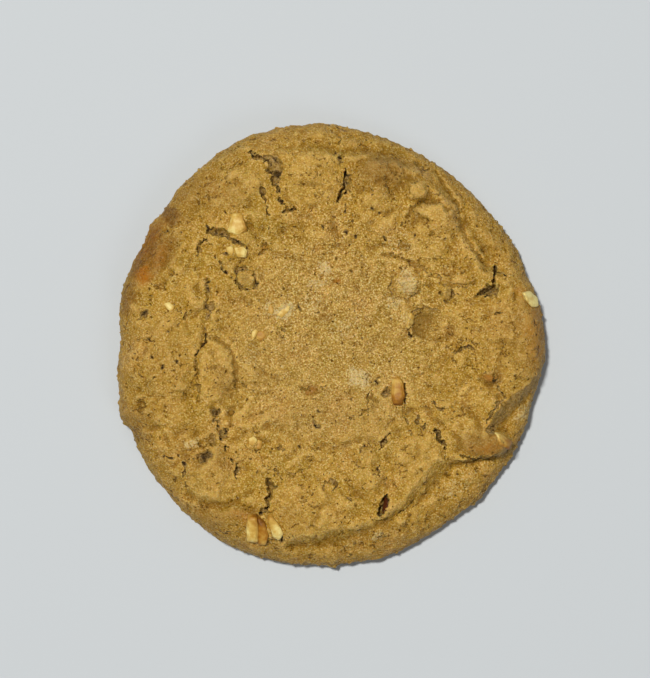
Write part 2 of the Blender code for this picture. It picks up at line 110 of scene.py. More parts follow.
def outline_fit():
    """The scale that gives the outline its width, and the pole that puts its box's centre at the origin."""
    angle = np.radians(np.arange(0, 360, OUTLINE_STEP))
    x = raw_radius(angle) * np.cos(angle)
    y = raw_radius(angle) * np.sin(angle)
    scale = COOKIE_WIDTH / np.ptp(x)
    return scale, -scale * (x.max() + x.min()) / 2, -scale * (y.max() + y.min()) / 2


OUTLINE_SCALE, POLE_X, POLE_Y = outline_fit()
OUTLINE_DEGREES = np.arange(-180, 181, OUTLINE_STEP)
OUTLINE_TABLE = OUTLINE_SCALE * raw_radius(np.radians(OUTLINE_DEGREES))


def outline_radius(angle):
    return np.interp(np.degrees(angle), OUTLINE_DEGREES, OUTLINE_TABLE)


def polar(x, y):
    """Distance and direction of each place from the pole."""
    return np.hypot(x - POLE_X, y - POLE_Y), np.arctan2(y - POLE_Y, x - POLE_X)


# ---- The dough: form of the top ----
# The middle was pressed and the dough round it cracked as it rose. On the back right and the front right
# the edge ran out into a low skirt, and the thick middle ends there in a step.
CROWN_HEIGHT = 10.7
TOP_LIMIT, TOP_SOFTNESS = 12.3, 0.25
PRESSED_DEPTH = 0.7
PRESSED_RADIUS, PRESSED_RIM = 20.5, 29.5  # the pressed middle ends between these
BELT_HEIGHT = 2.8  # the cookie is widest here
FOOT_INSET = 1.5
ROLL_LENGTH = 7.0  # the top rolls over this near to the edge
ROLL_CHANGES = (
    (0, -2.6, 22), (142, 5, 28), (222, 1.5, 25), (341, -2.4, 13),
)
# The step: direction, distance of the thick middle's edge from the centre, drop to the skirt, width, and
# how dark its face is: where the dough tore the inside shows, and the small values are painted shade on
# the step's face.
SKIRT = (
    (-112, 40.6, 0, 2, 0), (-104, 39.9, 1, 2, 0), (-97, 38.4, 2, 2.4, 0), (-90, 37.3, 2.3, 2.4, 0),
    (-81, 36.6, 2.5, 2.4, 0), (-75, 35.4, 2.6, 2.4, 0), (-66, 34.6, 2.6, 2.2, 0.05),
    (-55, 32.9, 2.9, 4, 0.03), (-48, 32.2, 3, 4.2, 0.03), (-44, 32.8, 3, 2.6, 0),
    (-40, 35.2, 3.2, 1.8, 0), (-36, 37.5, 3.4, 1.8, 0), (-31.5, 40.2, 3.4, 1.6, 0),
    (-29.3, 40.6, 3.2, 1.4, 0), (-27.8, 35.6, 2.6, 2, 0.42), (-24, 35.9, 2.9, 2.8, 0.42),
    (-19, 36.9, 2.9, 3.4, 0.42), (-14, 38.9, 2.6, 3, 0.42), (-11, 40.6, 1.6, 1.8, 0.38),
    (-7.5, 41.6, 0, 1.6, 0), (18, 38, 0, 1.4, 0), (24, 35.4, 1.6, 2.8, 0), (29, 34.3, 2.3, 3.4, 0.04),
    (35, 34, 2.5, 3.6, 0.04), (42, 34.4, 2.4, 3.4, 0.03), (47, 36, 2.2, 3, 0), (54, 37.4, 2, 2.8, 0),
    (61, 38.8, 1.8, 2.4, 0), (75, 38.7, 2.1, 1.8, 0), (89, 38, 2, 1.6, 0), (98, 39.2, 1.4, 1.6, 0),
    (106, 40.4, 0, 1.2, 0),
)
SKIRT_GROOVE_SHARE, SKIRT_GROOVE_WIDTH = 0.1, 1.0  # the groove at its foot, as a share of the drop
SKIRT_RIM_SHARE, SKIRT_RIM_WIDTH, SKIRT_RIM_INSET_SHARE = 0.02, 1.3, 0.4  # the raised rim along its top
TORN_FLATNESS, TORN_EDGE_SHARPNESS = 2.5, 12  # where the dough tore, the step is flat with sharp edges
# Rounded lumps: x, y, half length, half width, turn in degrees, height. Negative ones are hollows.
LUMPS = (
    (10.3, 33.9, 4.6, 3, -8, 1.2), (-4.4, 33, 6.6, 6, 0, 0.8), (-19, 31, 5, 4, 30, 0.8),
    (19.3, 21.5, 4.4, 5.4, -20, 0.9), (27, 20, 2.2, 5, 25, 0.4), (19.6, 26.4, 3.3, 1.5, -10, 1.5),
    (16.8, 30.6, 2.2, 1.8, 0, 1.1), (-32.2, 25.6, 2.4, 2, 0, 0.9), (-36.2, 17, 3, 6, -26, 1),
    (-32, -2, 6.5, 10, 0, 0.7), (-22.4, -5.6, 3.9, 6.6, -8, 1.2), (-24, -27, 5.4, 4, -15, 0.8),
    (-4.5, -32, 8, 5.4, 0, 0.8), (16.8, -22.8, 4.6, 6.4, -15, 1), (36, 0.5, 7, 10, 0, 0.8),
    (30.3, -19.2, 5.8, 2.9, -8, 1.6), (14.8, 12.4, 2.7, 3.8, 10, 0.5), (4.8, -12, 2.6, 2.6, 0, 0.4),
    (31.2, -6.4, 1.9, 1.3, -20, 0.9), (22, -1.5, 4.2, 3.4, 50, -0.8), (-20.5, -14, 3, 7, 15, -0.6),
    (20.6, 3.4, 4.6, 3.2, 0, -0.9), (-16.9, 13.2, 1.7, 1.6, 0, 0.9), (22.7, 10.5, 1.2, 1.7, 0, 0.8),
    (7.4, -22, 2, 1.7, 0, 0.8), (-18.9, 30.8, 1.6, 1.4, 0, 0.4), (-4, 39.5, 1.5, 1.1, 0, 0.3),
    (15.2, 11.9, 1.8, 1.8, 0, 0.3), (-28.5, 3.8, 1.7, 1.6, 0, 0.25), (-27.8, -19.5, 1.7, 1.2, 20, 0.5),
    (-15.6, 33.6, 2.8, 2.6, 0, 0.5), (9.5, 26.5, 4.6, 5, 20, 0.6), (26, 5, 4, 5, 10, 0.5),
    (27.5, -9.5, 3.4, 2.6, 20, 0.5), (25, -15.5, 3.6, 2.6, -20, 0.5), (8, -15.6, 4.6, 3, 10, 0.5),
    (-16.3, -14.6, 3.8, 3.8, 0, 0.5), (-33, -11.5, 4.4, 6.4, 5, 0.5), (-29, -19, 2.6, 1.8, 20, 0.4),
    (-31, 2, 3.8, 4, 0, 0.4), (-30, 13, 3.4, 3.8, 0, 0.4), (7.5, -26.5, 3.4, 2.6, 10, 0.4),
)
LUMP_TOP, LUMP_REACH = 0.55, 1.2  # a lump is flat to the first share of its size and ends at the second
# Steep-sided pits: x, y, half length, half width, turn, depth, and how dark their floor is: low values give
# the olive inside of the dough, high ones painted shade in the deep pits.
PITS = (
    (-37.1, 5.8, 1.4, 0.8, 8, 1.6, 0.85), (-16.9, 13.2, 1.9, 1.8, 0, 0.05, 0.22),
    (22.8, 10.4, 1, 1.8, 8, 0.05, 0.3), (-23.8, 7.6, 1.3, 1.1, 20, 1, 0.52),
    (-22.7, -13.1, 1.2, 1.8, -12, 1.5, 0.74), (-24.9, -21.9, 2.2, 1.7, 15, 1.3, 0.82),
    (-25.2, -21.6, 0.6, 0.5, 0, 2, 0.95), (-21.4, -17.4, 0.8, 1.3, 15, 1, 0.56),
    (-23.5, -18.6, 1.2, 1.3, 20, 0.8, 0.48), (30.6, 11, 1.6, 1.2, 20, 1.8, 0.7),
    (10.7, -31.8, 0.8, 2, -8, 2, 0.85), (10.7, -9.4, 0.7, 1.2, -5, 1.3, 0.7),
    (9.1, -7.5, 0.65, 1, 10, 1.4, 1), (8.2, -10.8, 1, 1, 0, 0.6, 0.3),
    (21.6, -12.8, 0.8, 0.5, 10, 1, 0.7), (-10.2, -38.3, 1.2, 0.8, -30, 1.5, 0.85),
    (-2.9, -15.5, 0.8, 0.5, -10, 1.1, 1), (31.8, -16.6, 0.9, 1.7, -20, 1.2, 0.6),
    (-9.8, 2.4, 0.8, 0.9, 20, 0.4, 0.35), (5, -39.3, 0.6, 0.4, -20, 0.8, 0.7),
)
# Broken-out hollows, steep at one end and running out at the other: as for the pits.
SCOOPS = (
    (20.4, 3.9, 5.2, 3.9, -10, 1.4, 0.28), (17.6, 1.6, 2.4, 1.7, -40, 0.8, 0.22),
    (8.4, -21.8, 3.4, 2.8, -25, 0.7, 0.18),
)
# Bits of nut under the crust, with a fine crack all round: x, y, half length, half width, turn, depth.
RINGS = (
    (-17, 13.2, 2.1, 2, 0, 1), (22.8, 10.4, 1.2, 2, 8, 0.9), (15.8, -14.4, 1.2, 1, 0, 0.6),
    (-0.3, -27.8, 1.2, 1, 0, 0.6), (-9.8, 2.4, 0.9, 0.9, 0, 0.5), (-21.3, -17.5, 0.9, 1.3, 15, 0.8),
)
RING_POINTS = 17
PIT_FLOOR_SHARE, SCOOP_FLOOR_SHARE = 0.45, 0.8
PIT_RAGGEDNESS = 1.7
# Small holes: x, y, half size, depth. Their dark is painted shade.
HOLES = (
    (-36, 1, 0.32, 0.6), (-35.2, -2.6, 0.36, 0.6), (-24.1, 12.3, 0.36, 1.1), (-13.2, 30, 0.43, 1.1),
    (4.8, 21.6, 0.36, 0.8), (10.4, 21, 0.36, 0.9), (7.9, 26.7, 0.29, 0.7), (9.4, 26, 0.25, 0.7),
    (2.6, 26.7, 0.29, 0.6), (-1.6, 23.1, 0.25, 0.6), (4.1, 24.4, 0.22, 0.6), (2.9, 22.2, 0.22, 0.4),
    (7.2, 20.5, 0.25, 0.6), (14, 23.9, 0.25, 0.6), (13.8, 17.3, 0.25, 0.7), (12.2, 17.9, 0.29, 0.5),
    (0.5, 38.1, 0.29, 1), (-6.2, 7.4, 0.25, 0.8), (-2.8, 6.5, 0.29, 0.5), (0.8, 6.1, 0.29, 0.7),
    (-8.9, 12.6, 0.22, 0.6), (-4.3, 10.9, 0.22, 0.5), (-10.5, -7.9, 0.22, 0.6), (-2.3, -13, 0.22, 0.6),
    (1.4, -6.1, 0.22, 0.5), (-2.9, -3.8, 0.22, 0.5), (3.9, -10.7, 0.29, 0.6), (-6.4, -19.8, 0.25, 0.6),
    (2.5, -23, 0.25, 0.6), (15.6, -17, 0.25, 0.6), (22.5, -22.1, 0.29, 0.6), (22.4, 20.9, 0.25, 0.6),
    (16.2, 21.8, 0.22, 0.5), (21.6, 17.2, 0.25, 0.6), (32.3, 3.9, 0.25, 0.6), (30.6, 1, 0.22, 0.6),
    (29.6, -8.5, 0.29, 0.7), (-30.4, -3.2, 0.25, 0.6), (-32, 2.4, 0.22, 0.5), (-31, 8.3, 0.25, 0.6),
    (-34.8, 9.7, 0.22, 0.5), (-29.7, 22.4, 0.22, 0.5), (-32.3, 22.4, 0.22, 0.5), (-19.4, 27.4, 0.29, 0.7),
    (-20.9, 26.3, 0.25, 0.6), (26.9, -29.2, 0.29, 0.6), (24.6, -30.3, 0.25, 0.5),
    (26.5, -23.7, 0.25, 0.6), (9.4, -24.3, 0.36, 0.7),
)
HOLE_FLOOR_SHARE, HOLE_REACH, HOLE_TONE = 0.2, 1.3, 0.9
# Open fissures: depth, how dark (painted shade over the olive inside of the dough), then the points x, y,
# width that each runs through.
FISSURES = (
    (1.6, 1, ((-15.9, 38.5, 0.5), (-15.4, 37.5, 0.6), (-14.6, 37, 0.6), (-13.4, 36.8, 0.8))),
    (1.3, 2, ((-13.2, 37.2, 1.2), (-11.9, 36.6, 2.6), (-11, 35.4, 3), (-10.8, 33.6, 2.4),
        (-11, 32.2, 1.6), (-10.6, 30.8, 0.7))),
    (1.8, 1, ((-12.1, 34.2, 0.5), (-11.7, 33, 0.8), (-11.4, 32, 0.8), (-10.8, 31, 0.5))),
    (1.5, 1, ((-10.2, 28.9, 0.5), (-9.7, 27.9, 0.6))),
    (1.3, 1, ((-9.6, 26.6, 0.5), (-8.6, 26.8, 1.1), (-7.3, 26.5, 0.5))),
    (1.4, 1, ((-13.3, 30.6, 0.7), (-13.4, 29.5, 0.9), (-13, 28.6, 0.6))),
    (2, 1, ((3.2, 34.9, 0.5), (2.9, 34, 0.9), (2.5, 32.8, 0.5), (2.3, 31.2, 0.5), (1.7, 30.1, 1),
        (1.1, 28, 0.5))),
    (1.3, 1.4, ((3, 33.8, 0.8), (3.3, 32.4, 1.9), (3.2, 31.2, 1.7), (2.6, 30.2, 0.8))),
    (2.4, 1, ((32.4, 15.4, 0.6), (32.2, 14, 0.6), (31.8, 12.2, 0.8), (31.3, 10.9, 1.2), (30.2, 10.3, 1),
        (28.8, 9.9, 0.6))),
    (1.3, 1, ((32.7, 11.4, 0.8), (31.8, 10.2, 1.3), (30.6, 9.5, 0.8))),
    (1.2, 1, ((24.9, -1.1, 0.5), (25.7, -0.3, 0.6), (26.6, 0, 0.6), (28.1, -0.5, 0.5))),
    (2, 1, ((20.4, -16.7, 0.6), (21.1, -17.6, 1), (21.7, -18.9, 1.1), (22.4, -20.1, 0.5))),
    (3, 1, ((10.6, -29.7, 0.6), (10.2, -31.2, 1.2), (9.7, -32.6, 1.5), (9.4, -33.9, 0.8))),
    (2.4, 0.9, ((-12.6, -26.2, 0.7), (-12.2, -27.6, 1.5), (-12.1, -29, 1.7), (-12.3, -30.4, 1.3),
        (-12.6, -31.8, 0.8))),
    (1.6, 1, ((-12.6, -31.8, 0.6), (-13.2, -32.6, 0.6), (-14.1, -33.3, 0.7))),
    (1, 0.6, ((-8.5, -25.8, 0.6), (-7.5, -25.4, 0.6), (-6.5, -25, 0.5), (-5.7, -24.6, 0.5),
        (-3.6, -23.2, 0.4))),
    (1.6, 1, ((9.6, -20.4, 0.8), (10.1, -19.5, 0.9), (10.7, -18.7, 0.7), (11.6, -18, 0.5))),
    (1.5, 1, ((-24.4, 23.7, 0.7), (-24.3, 22.4, 0.9))),
    (1.6, 1, ((-24.6, 21.6, 0.5), (-25.3, 20.1, 0.9), (-26.2, 19.2, 0.7), (-26.9, 17.8, 0.4))),
    (1.5, 1, ((-24.1, 22.3, 0.6), (-22.3, 22.3, 1.4), (-20.9, 22, 1.1), (-19.3, 20.9, 0.7),
        (-16.7, 19.2, 0.5))),
    (0.9, 0.9, ((-18.3, 15.4, 0.5), (-19, 14, 0.6), (-18.9, 12.4, 0.5), (-17.6, 11.3, 0.6),
        (-16, 11.2, 0.6), (-14.9, 12.2, 0.5))),
    (1.4, 1, ((-24.8, 2.5, 0.7), (-25.1, 0.4, 0.7), (-25.9, -0.8, 0.5), (-26.7, -2.4, 0.5))),
    (1.2, 0.5, ((-26.6, -3.4, 0.6), (-26.8, -5, 0.9), (-26.5, -6.8, 0.7), (-26.2, -8.4, 0.5),
        (-26.5, -10.8, 0.6))),
    (1.4, 1, ((-18.5, -23.3, 0.7), (-18.4, -24.4, 0.7))),
    (1.3, 1, ((-18.7, -25.1, 0.5), (-18.8, -26.4, 0.5))),
    (0.9, 0.8, ((25.4, -21.6, 0.4), (27.6, -22.3, 0.5), (29.8, -22.5, 0.5), (32.4, -21.8, 0.5),
        (34.8, -20.9, 0.4), (36, -19.6, 0.4))),
    (0.9, 0.7, ((30.6, -15.3, 0.4), (31.4, -13.4, 0.5), (32.8, -11.6, 0.5), (34.5, -10, 0.4))),
    (0.8, 0.7, ((16.4, -30.4, 0.4), (14.4, -32.4, 0.5), (12.4, -33.4, 0.4))),
)
# Thin cracks, too fine for the solid: depth, then the points x, y. They open and close again on the way.
CRACKS = (
    (0.9, ((1.8, 36.8), (1.9, 35.7))),
    (0.9, ((-22.6, 17.6), (-22.3, 16.8), (-21.9, 16), (-21.7, 15), (-20.8, 14.3), (-19.8, 13.2))),
    (0.9, ((17.2, 15.7), (17.9, 15.2), (18.8, 14.6), (20.2, 14.2), (21.2, 13.7), (21.7, 12.7))),
    (0.7, ((25, 11.6), (26.7, 11.6))),
    (0.8, ((32, 5.6), (32.5, 6.2), (34, 6.3))),
    (0.7, ((13.8, 17.8), (13.9, 17.1), (14.6, 17))),
    (0.8, ((27.2, -3), (27.8, -4), (28.6, -4.8), (29.2, -5.4), (28.2, -6))),
    (0.6, ((23, -2.3), (23.8, -1.5), (24.8, -1))),
    (0.8, ((31.9, -5.8), (32.4, -7.4), (33, -8.8), (34.4, -10))),
    (1.2, ((-27.2, -22.6), (-28, -22.9), (-29.3, -22.6))),
    (0.8, ((-29.2, -23.3), (-29, -25), (-29.1, -26.6), (-28.6, -27.8))),
    (0.7, ((-33.5, -22.6), (-32.7, -22.2), (-31.6, -22))),
    (0.8, ((-33.4, -4.3), (-33.2, -5.2), (-33.8, -5.8), (-35.5, -7.2))),
    (0.5, ((-38.4, -3), (-37.6, -4.6))),
    (1, ((20.1, -11), (20.3, -12), (21, -12.6), (22.2, -12.9))),
    (0.9, ((23.7, -12.4), (24.5, -13.3))),
    (0.8, ((18.5, -15.6), (18.3, -16.6))),
    (1.2, ((-22.9, -15), (-22.5, -16.2), (-21.5, -16.2), (-20.8, -16.8), (-20.6, -18))),
    (1.2, ((-20.9, -20.2), (-20.5, -21.3), (-20, -22.2), (-19.3, -22.9))),
    (0.8, ((-10.9, -24.6), (-10.8, -25.5))),
    (0.8, ((-14.4, -25.1), (-13.4, -25.9))),
    (0.9, ((-11.9, -28), (-11, -27.7))),
    (0.8, ((-16, -20.5), (-14.8, -21), (-13.9, -20.7))),
    (0.9, ((-13.2, 28.6), (-13.1, 27.7), (-12.8, 26), (-12.4, 24.5), (-12.2, 22.4))),
    (0.7, ((-14.4, 18), (-13.6, 18.9), (-12.4, 18.7))),
    (0.7, ((-20.6, 18.1), (-20, 17.3))),
    (0.7, ((-24.3, 12.6), (-24.4, 10.4), (-24.6, 8.8), (-24.2, 6.4), (-24.8, 3.6), (-24.8, 2.5))),
    (0.6, ((5.4, -24), (6.6, -24))),
    (0.9, ((8.5, -23.9), (9.3, -24.7), (9.3, -23.8))),
    (0.9, ((9.1, -20.6), (7.4, -19.5), (6, -20.3), (5.3, -21.3), (5.4, -22.8))),
    (0.9, ((14.5, -13.8), (15, -15), (15.9, -15.4))),
    (0.8, ((7.4, -9.2), (7, -10.4), (7.3, -11.8))),
    (0.6, ((2.5, -14), (4, -14.2), (5.5, -13.9), (6.7, -13.6), (7.2, -12.4))),
    (1.2, ((14.3, -7.6), (14.6, -10), (14.4, -12.4))),
    (0.6, ((16.5, -6.7), (18, -5.6))),
    (0.9, ((16.4, 6.8), (16.4, 5.5), (16, 4.2), (14.8, 3.1), (15.4, 2), (16.4, 0.9))),
    (0.5, ((16.6, 7), (18, 7), (19.5, 7.3), (21.6, 7))),
    (0.9, ((22.1, 12.1), (23.4, 11.4), (24, 10.4))),
    (0.6, ((17.2, 14.3), (17.5, 12.6), (17.4, 10.6), (16, 9.5))),
    (0.6, ((12, 13.4), (11.7, 12), (11.9, 10.4), (13, 8))),
    (0.6, ((-30.2, 2.5), (-30.2, 4), (-29.3, 5.2), (-28.2, 5.5))),
    (0.7, ((-31.4, 8.8), (-30.8, 8))),
    (0.6, ((-18, -7), (-17, -8), (-16.3, -8.6), (-15.3, -9.1))),
    (0.6, ((-6, -8.2), (-5, -8.9), (-3.2, -8.7), (-1.5, -8.4))),
    (0.6, ((1.3, 42), (1.4, 41), (1.1, 40))),
    (0.6, ((5.9, 39.9), (5.8, 39))),
    (0.8, ((16.4, 36.4), (17.5, 35.6), (19.2, 34.9))),
    (0.8, ((33.2, 14.6), (34.6, 13.6))),
    (0.6, ((-11.8, -21), (-10.6, -20.2), (-9.4, -20.4))),
    (0.6, ((10.8, -25.2), (11.1, -26.4))),
    (0.6, ((2.6, -29.6), (3.8, -30.4))),
    (0.6, ((26.6, 17.4), (27.8, 16.6))),
)
CRACK_WIDTH = 0.5
CRACK_BREAK_SPACING = 1.5
CRACK_SHUT, CRACK_OPEN = -0.3, 0.05
# Soft folds of the skin round the lumps: depth, width, then the points x, y.
FOLDS = (
    (0.54, 1.4, ((5.5, 36.2), (8, 37), (11, 36.2), (13.4, 33.6), (14.6, 30.4))),
    (1, 1, ((14.9, 25.1), (16, 27), (17.7, 28.2), (21.2, 28), (22.9, 26.6))),
    (0.9, 0.9, ((20.7, 34.4), (22.8, 31), (25.2, 27.6), (25.8, 23.2), (27.5, 19.6), (29.7, 16.6),
        (32.2, 14.8))),
    (0.6, 0.9, ((14.4, 34), (15.2, 30.2), (17.6, 28.1), (21.2, 28.6), (24.6, 26.2), (25.7, 22.6))),
    (0.36, 1.7, ((9, 32), (10.5, 31.8), (12, 32), (13, 31.2))),
    (0.36, 1.4, ((15.2, 32.8), (17, 32), (18.6, 30.8), (20, 29.4), (22, 28.4))),
    (0.36, 1.7, ((16.2, 26.8), (15.6, 24), (17.2, 20.6), (20.6, 17.4), (24, 16), (27.4, 15.4))),
    (0.3, 1.3, ((-9, 27), (-6.5, 27.6), (-4, 27.4), (-1.5, 28), (1, 28))),
    (0.3, 1.3, ((1, 28), (4, 28.6), (6, 27.4), (8, 26), (11, 25.6))),
    (0.54, 1.5, ((-24, 13), (-24.3, 8), (-24.8, 3), (-25.5, 0), (-26.7, -4), (-26.8, -8),
        (-26.2, -11.4))),
    (0.9, 1.1, ((-23.3, 1.2), (-22, 0.9), (-21, 0.3), (-20.2, -0.8), (-19.4, -2.2), (-18.9, -4.5),
        (-19.1, -8))),
    (0.3, 1.3, ((-19.1, -8), (-16.5, -9), (-14, -9.7))),
    (0.42, 1.7, ((-23.4, -11.6), (-22.9, -14.5), (-22.3, -17.5))),
    (0.3, 1.3, ((-20.3, -12), (-20, -14.4), (-20.1, -17))),
    (0.36, 1.7, ((-27, -17.4), (-25.5, -17.2), (-24, -16.4), (-23.2, -15.9))),
    (0.42, 1.7, ((-34.4, -22), (-32, -21.4), (-29.6, -22), (-28, -22.2))),
    (0.42, 2, ((-28.6, -29.6), (-24, -31.4), (-19, -31), (-15, -32.8))),
    (0.36, 1.7, ((-20.8, 32.5), (-20.3, 31.5), (-19, 32.1), (-17.6, 31.4), (-17.1, 30.2))),
    (0.36, 1.3, ((-16.2, 25), (-15.6, 22.2), (-14.4, 21.2), (-13, 20))),
    (0.3, 1.7, ((-27.2, 17.6), (-28, 15), (-27.6, 13))),
    (0.36, 1.7, ((-34, 11.4), (-31.6, 14.6), (-29.4, 17.2), (-27.4, 19.6))),
    (0.36, 1.3, ((-38, -9), (-34, -10.6), (-31, -9), (-28.4, -9.4))),
    (0.3, 1.3, ((-36, -16.6), (-32.6, -16), (-30.4, -17.2))),
    (0.48, 2.2, ((-8.2, -25.2), (-6.2, -24.4), (-4, -22.8))),
    (0.36, 1.7, ((-9, -40), (-6, -40.2), (-3.5, -39.8), (0, -39.4))),
    (0.36, 1.4, ((12.6, -17), (11.4, -20.4), (10.7, -24.4), (11, -28.2))),
    (0.36, 1.3, ((15, -13.4), (17.6, -12.8), (20, -12.4), (22.4, -12.9))),
    (0.36, 1.3, ((3.4, -19.4), (1, -20.4), (-2, -19.8), (-5, -20.6))),
    (0.48, 1.4, ((26.6, -3), (28.4, -5), (30.4, -7), (32, -9.4), (33.4, -11))),
    (0.36, 1.5, ((16.4, -6.4), (19.6, -4.4), (23, -2))),
    (0.7, 1.1, ((10.4, 18.2), (14, 17), (17, 15.7), (20, 14.3), (22, 12.6), (25, 11.6), (28.4, 12.2))),
    (0.42, 1.4, ((12.4, 14.2), (12, 10.4), (13.4, 7.6))),
    (0.42, 1.5, ((17.2, 14.4), (17.2, 10.4), (15.6, 8.8))),
    (0.3, 2, ((28.4, -8.4), (27, -10.4), (24.6, -10.6))),
    (0.3, 2, ((-10.5, 38.3), (-8, 39), (-5.4, 38.4))),
    (0.3, 1.4, ((-5.6, 39.4), (-4.6, 40.4), (-3, 40.2))),
    (0.3, 2.2, ((2.8, 38.4), (6, 38.9), (10, 38.8), (14, 37.8))),
    (0.3, 1.7, ((34.6, 5.6), (36.4, 2), (35, -2))),
    (0.3, 2, ((-38.4, 8.6), (-35.4, 9.4), (-33.4, 11))),
)
# A fold's darkness is painted shade in its crease.
FOLD_TONE = 0.3  # how dark a fold is beside a crack
# How a crack is cut: distances from its line are in half widths.
CRACK_FLOOR, CRACK_SIDE = 0.3, 1.2
CRACK_MARGIN = 2.5  # nothing changes further off than this many widths
LIP_SHARE = 0.06  # the dough is pushed up beside a crack by this share of its depth
LIP_PLACE, LIP_SPREAD = 1.7, 0.8
LEAST_DEPTH_SHARE, MOST_DEPTH_SHARE = 0.1, 1.2  # a crack is shallower where it is narrow
# The dark of a crack is painted shade over the olive inside of the dough; a little of it falls beside it.
SHADE_SHARE, SHADE_START, SHADE_END = 0.25, 0.5, 2.2  # the dough beside a crack is a little dark too
NARROW_TONE, TONE_LOSS, WIDE_TONE = 1.25, 0.45, 0.42  # a wide crack lets light in
FULL_TONE_DEPTH = 0.8
CRACK_LIGHT_SHARE = 0.55  # how much less dark it is between its dark spots
SPOT_SPACING, SPOT_EDGE = 1.5, 0.25
JAGGED_REACH, JAGGED_SPACING = 0.6, 1.7  # cracks wander this far off their line
FRAYED_REACH, FRAYED_SPACING = 0.35, 0.65
CRACK_RAGGEDNESS, RAGGED_SPACING = 0.9, 1.1  # how unevenly a crack opens
LEAST_CRACK_WIDTH = 0.1
# The dough rose in soft billows with creases between them, most of all round the pressed middle.
# Spacing, height and how much of them the middle has.
BILLOWS = ((6.5, 1.7, 0.2), (3.0, 0.36, 0.5))
BILLOW_START, BILLOW_FULL = 10.0, 24.0
BILLOW_LEVEL, CREASE_ROUNDING = 0.2, 0.03
LEAST_FLOOR = 2.0  # no cut goes deeper than this height over the base
UNEVEN_HEIGHT, UNEVEN_SPACING = 0.45, 5.5


def skirt_drop(radius, angle):
    """How far the skirt lies below the thick middle, between rim and groove, and how dark its face is."""
    direction, *columns = np.array(SKIRT).T
    edge, drop, width, torn = (np.interp(np.degrees(angle), direction, column) for column in columns)
    past_foot = (radius - edge - width / 2) / SKIRT_GROOVE_WIDTH
    groove = SKIRT_GROOVE_SHARE * drop * np.exp(-(past_foot**2))
    inside = (edge - width / 2 - SKIRT_RIM_INSET_SHARE * SKIRT_RIM_WIDTH - radius) / SKIRT_RIM_WIDTH
    groove -= SKIRT_RIM_SHARE * drop * np.exp(-(inside**2))
    slope = np.clip((radius - edge) / width + 0.5, 0, 1)
    share = smooth_step(0, 1, slope)
    share += (slope - share) * np.minimum(1, TORN_FLATNESS * torn)
    return drop * share + groove, torn * np.minimum(1, TORN_EDGE_SHARPNESS * slope * (1 - slope))


def oval_place(x, y, centre_x, centre_y, length, width, turn):
    """Place along and across an oval, as shares of its half length and half width."""
    cosine, sine = np.cos(np.radians(turn)), np.sin(np.radians(turn))
    along = (x - centre_x) * cosine + (y - centre_y) * sine
    across = (y - centre_y) * cosine - (x - centre_x) * sine
    return along / length, across / width


def oval_reach(x, y, *oval):
    """Distance from an oval's centre as a share of its size there: 1 on its edge."""
    return np.hypot(*oval_place(x, y, *oval))


def ring_path(centre_x, centre_y, length, width, turn):
    """Points round an oval, the last again the first."""
    angles = np.linspace(0, 2 * np.pi, RING_POINTS)
    cosine, sine = np.cos(np.radians(turn)), np.sin(np.radians(turn))
    along, across = length * np.cos(angles), width * np.sin(angles)
    x = centre_x + along * cosine - across * sine
    y = centre_y + along * sine + across * cosine
    return list(zip(x, y))


def widened(path, width):
    return [(x, y, width) for x, y in path]


def beside_line(x, y, start, end):
    """How far along a line each place lies, from 0 to 1, and how far off it."""
    (ax, ay, _), (bx, by, _) = start, end
    length = np.hypot(bx - ax, by - ay)
    t = np.clip(((x - ax) * (bx - ax) + (y - ay) * (by - ay)) / length**2, 0, 1)
    return t, np.hypot(x - ax - (bx - ax) * t, y - ay - (by - ay) * t)


def crack_cut(x, y, ragged, spots, depth, path):
    """A crack's depth at each point, the low lip beside it and its darkness, painted shade over the olive
    inside, less where it is wide.
    """
    cut, lip, dark = np.zeros((3, len(x)))
    line = np.array(path)
    widest = line[:, 2].max()
    low_x, low_y = line[:, :2].min(0) - CRACK_MARGIN * widest
    high_x, high_y = line[:, :2].max(0) + CRACK_MARGIN * widest
    near = np.flatnonzero((x > low_x) & (x < high_x) & (y > low_y) & (y < high_y))
    light = CRACK_LIGHT_SHARE * (1 - smooth_step(-SPOT_EDGE, SPOT_EDGE, spots[near]))
    for start, end in zip(path, path[1:]):
        t, away = beside_line(x[near], y[near], start, end)
        width = start[2] + (end[2] - start[2]) * t + CRACK_RAGGEDNESS * ragged[near]
        width = np.maximum(width, LEAST_CRACK_WIDTH)
        reach = away / (width / 2)
        local = depth * np.sqrt(np.clip(width / widest, LEAST_DEPTH_SHARE, MOST_DEPTH_SHARE))
        share = 1 - smooth_step(CRACK_FLOOR, CRACK_SIDE, reach)
        shade = 1 - smooth_step(SHADE_START, SHADE_END, reach)
        cut[near] = np.maximum(cut[near], local * share)
        raised = np.exp(-(((reach - LIP_PLACE) / LIP_SPREAD) ** 2))
        lip[near] = np.maximum(lip[near], LIP_SHARE * local * raised)
        tone = np.clip(NARROW_TONE - TONE_LOSS * width, WIDE_TONE, 1.0) * min(1, depth / FULL_TONE_DEPTH)
        tone *= (1 - light) * ((1 - SHADE_SHARE) * share + SHADE_SHARE * shade)
        dark[near] = np.maximum(dark[near], tone)
    return cut, lip, dark


THIN_CRACKS = [(depth, widened(path, CRACK_WIDTH)) for depth, path in CRACKS]
THIN_CRACKS += [(depth, widened(ring_path(*oval), CRACK_WIDTH)) for *oval, depth in RINGS]


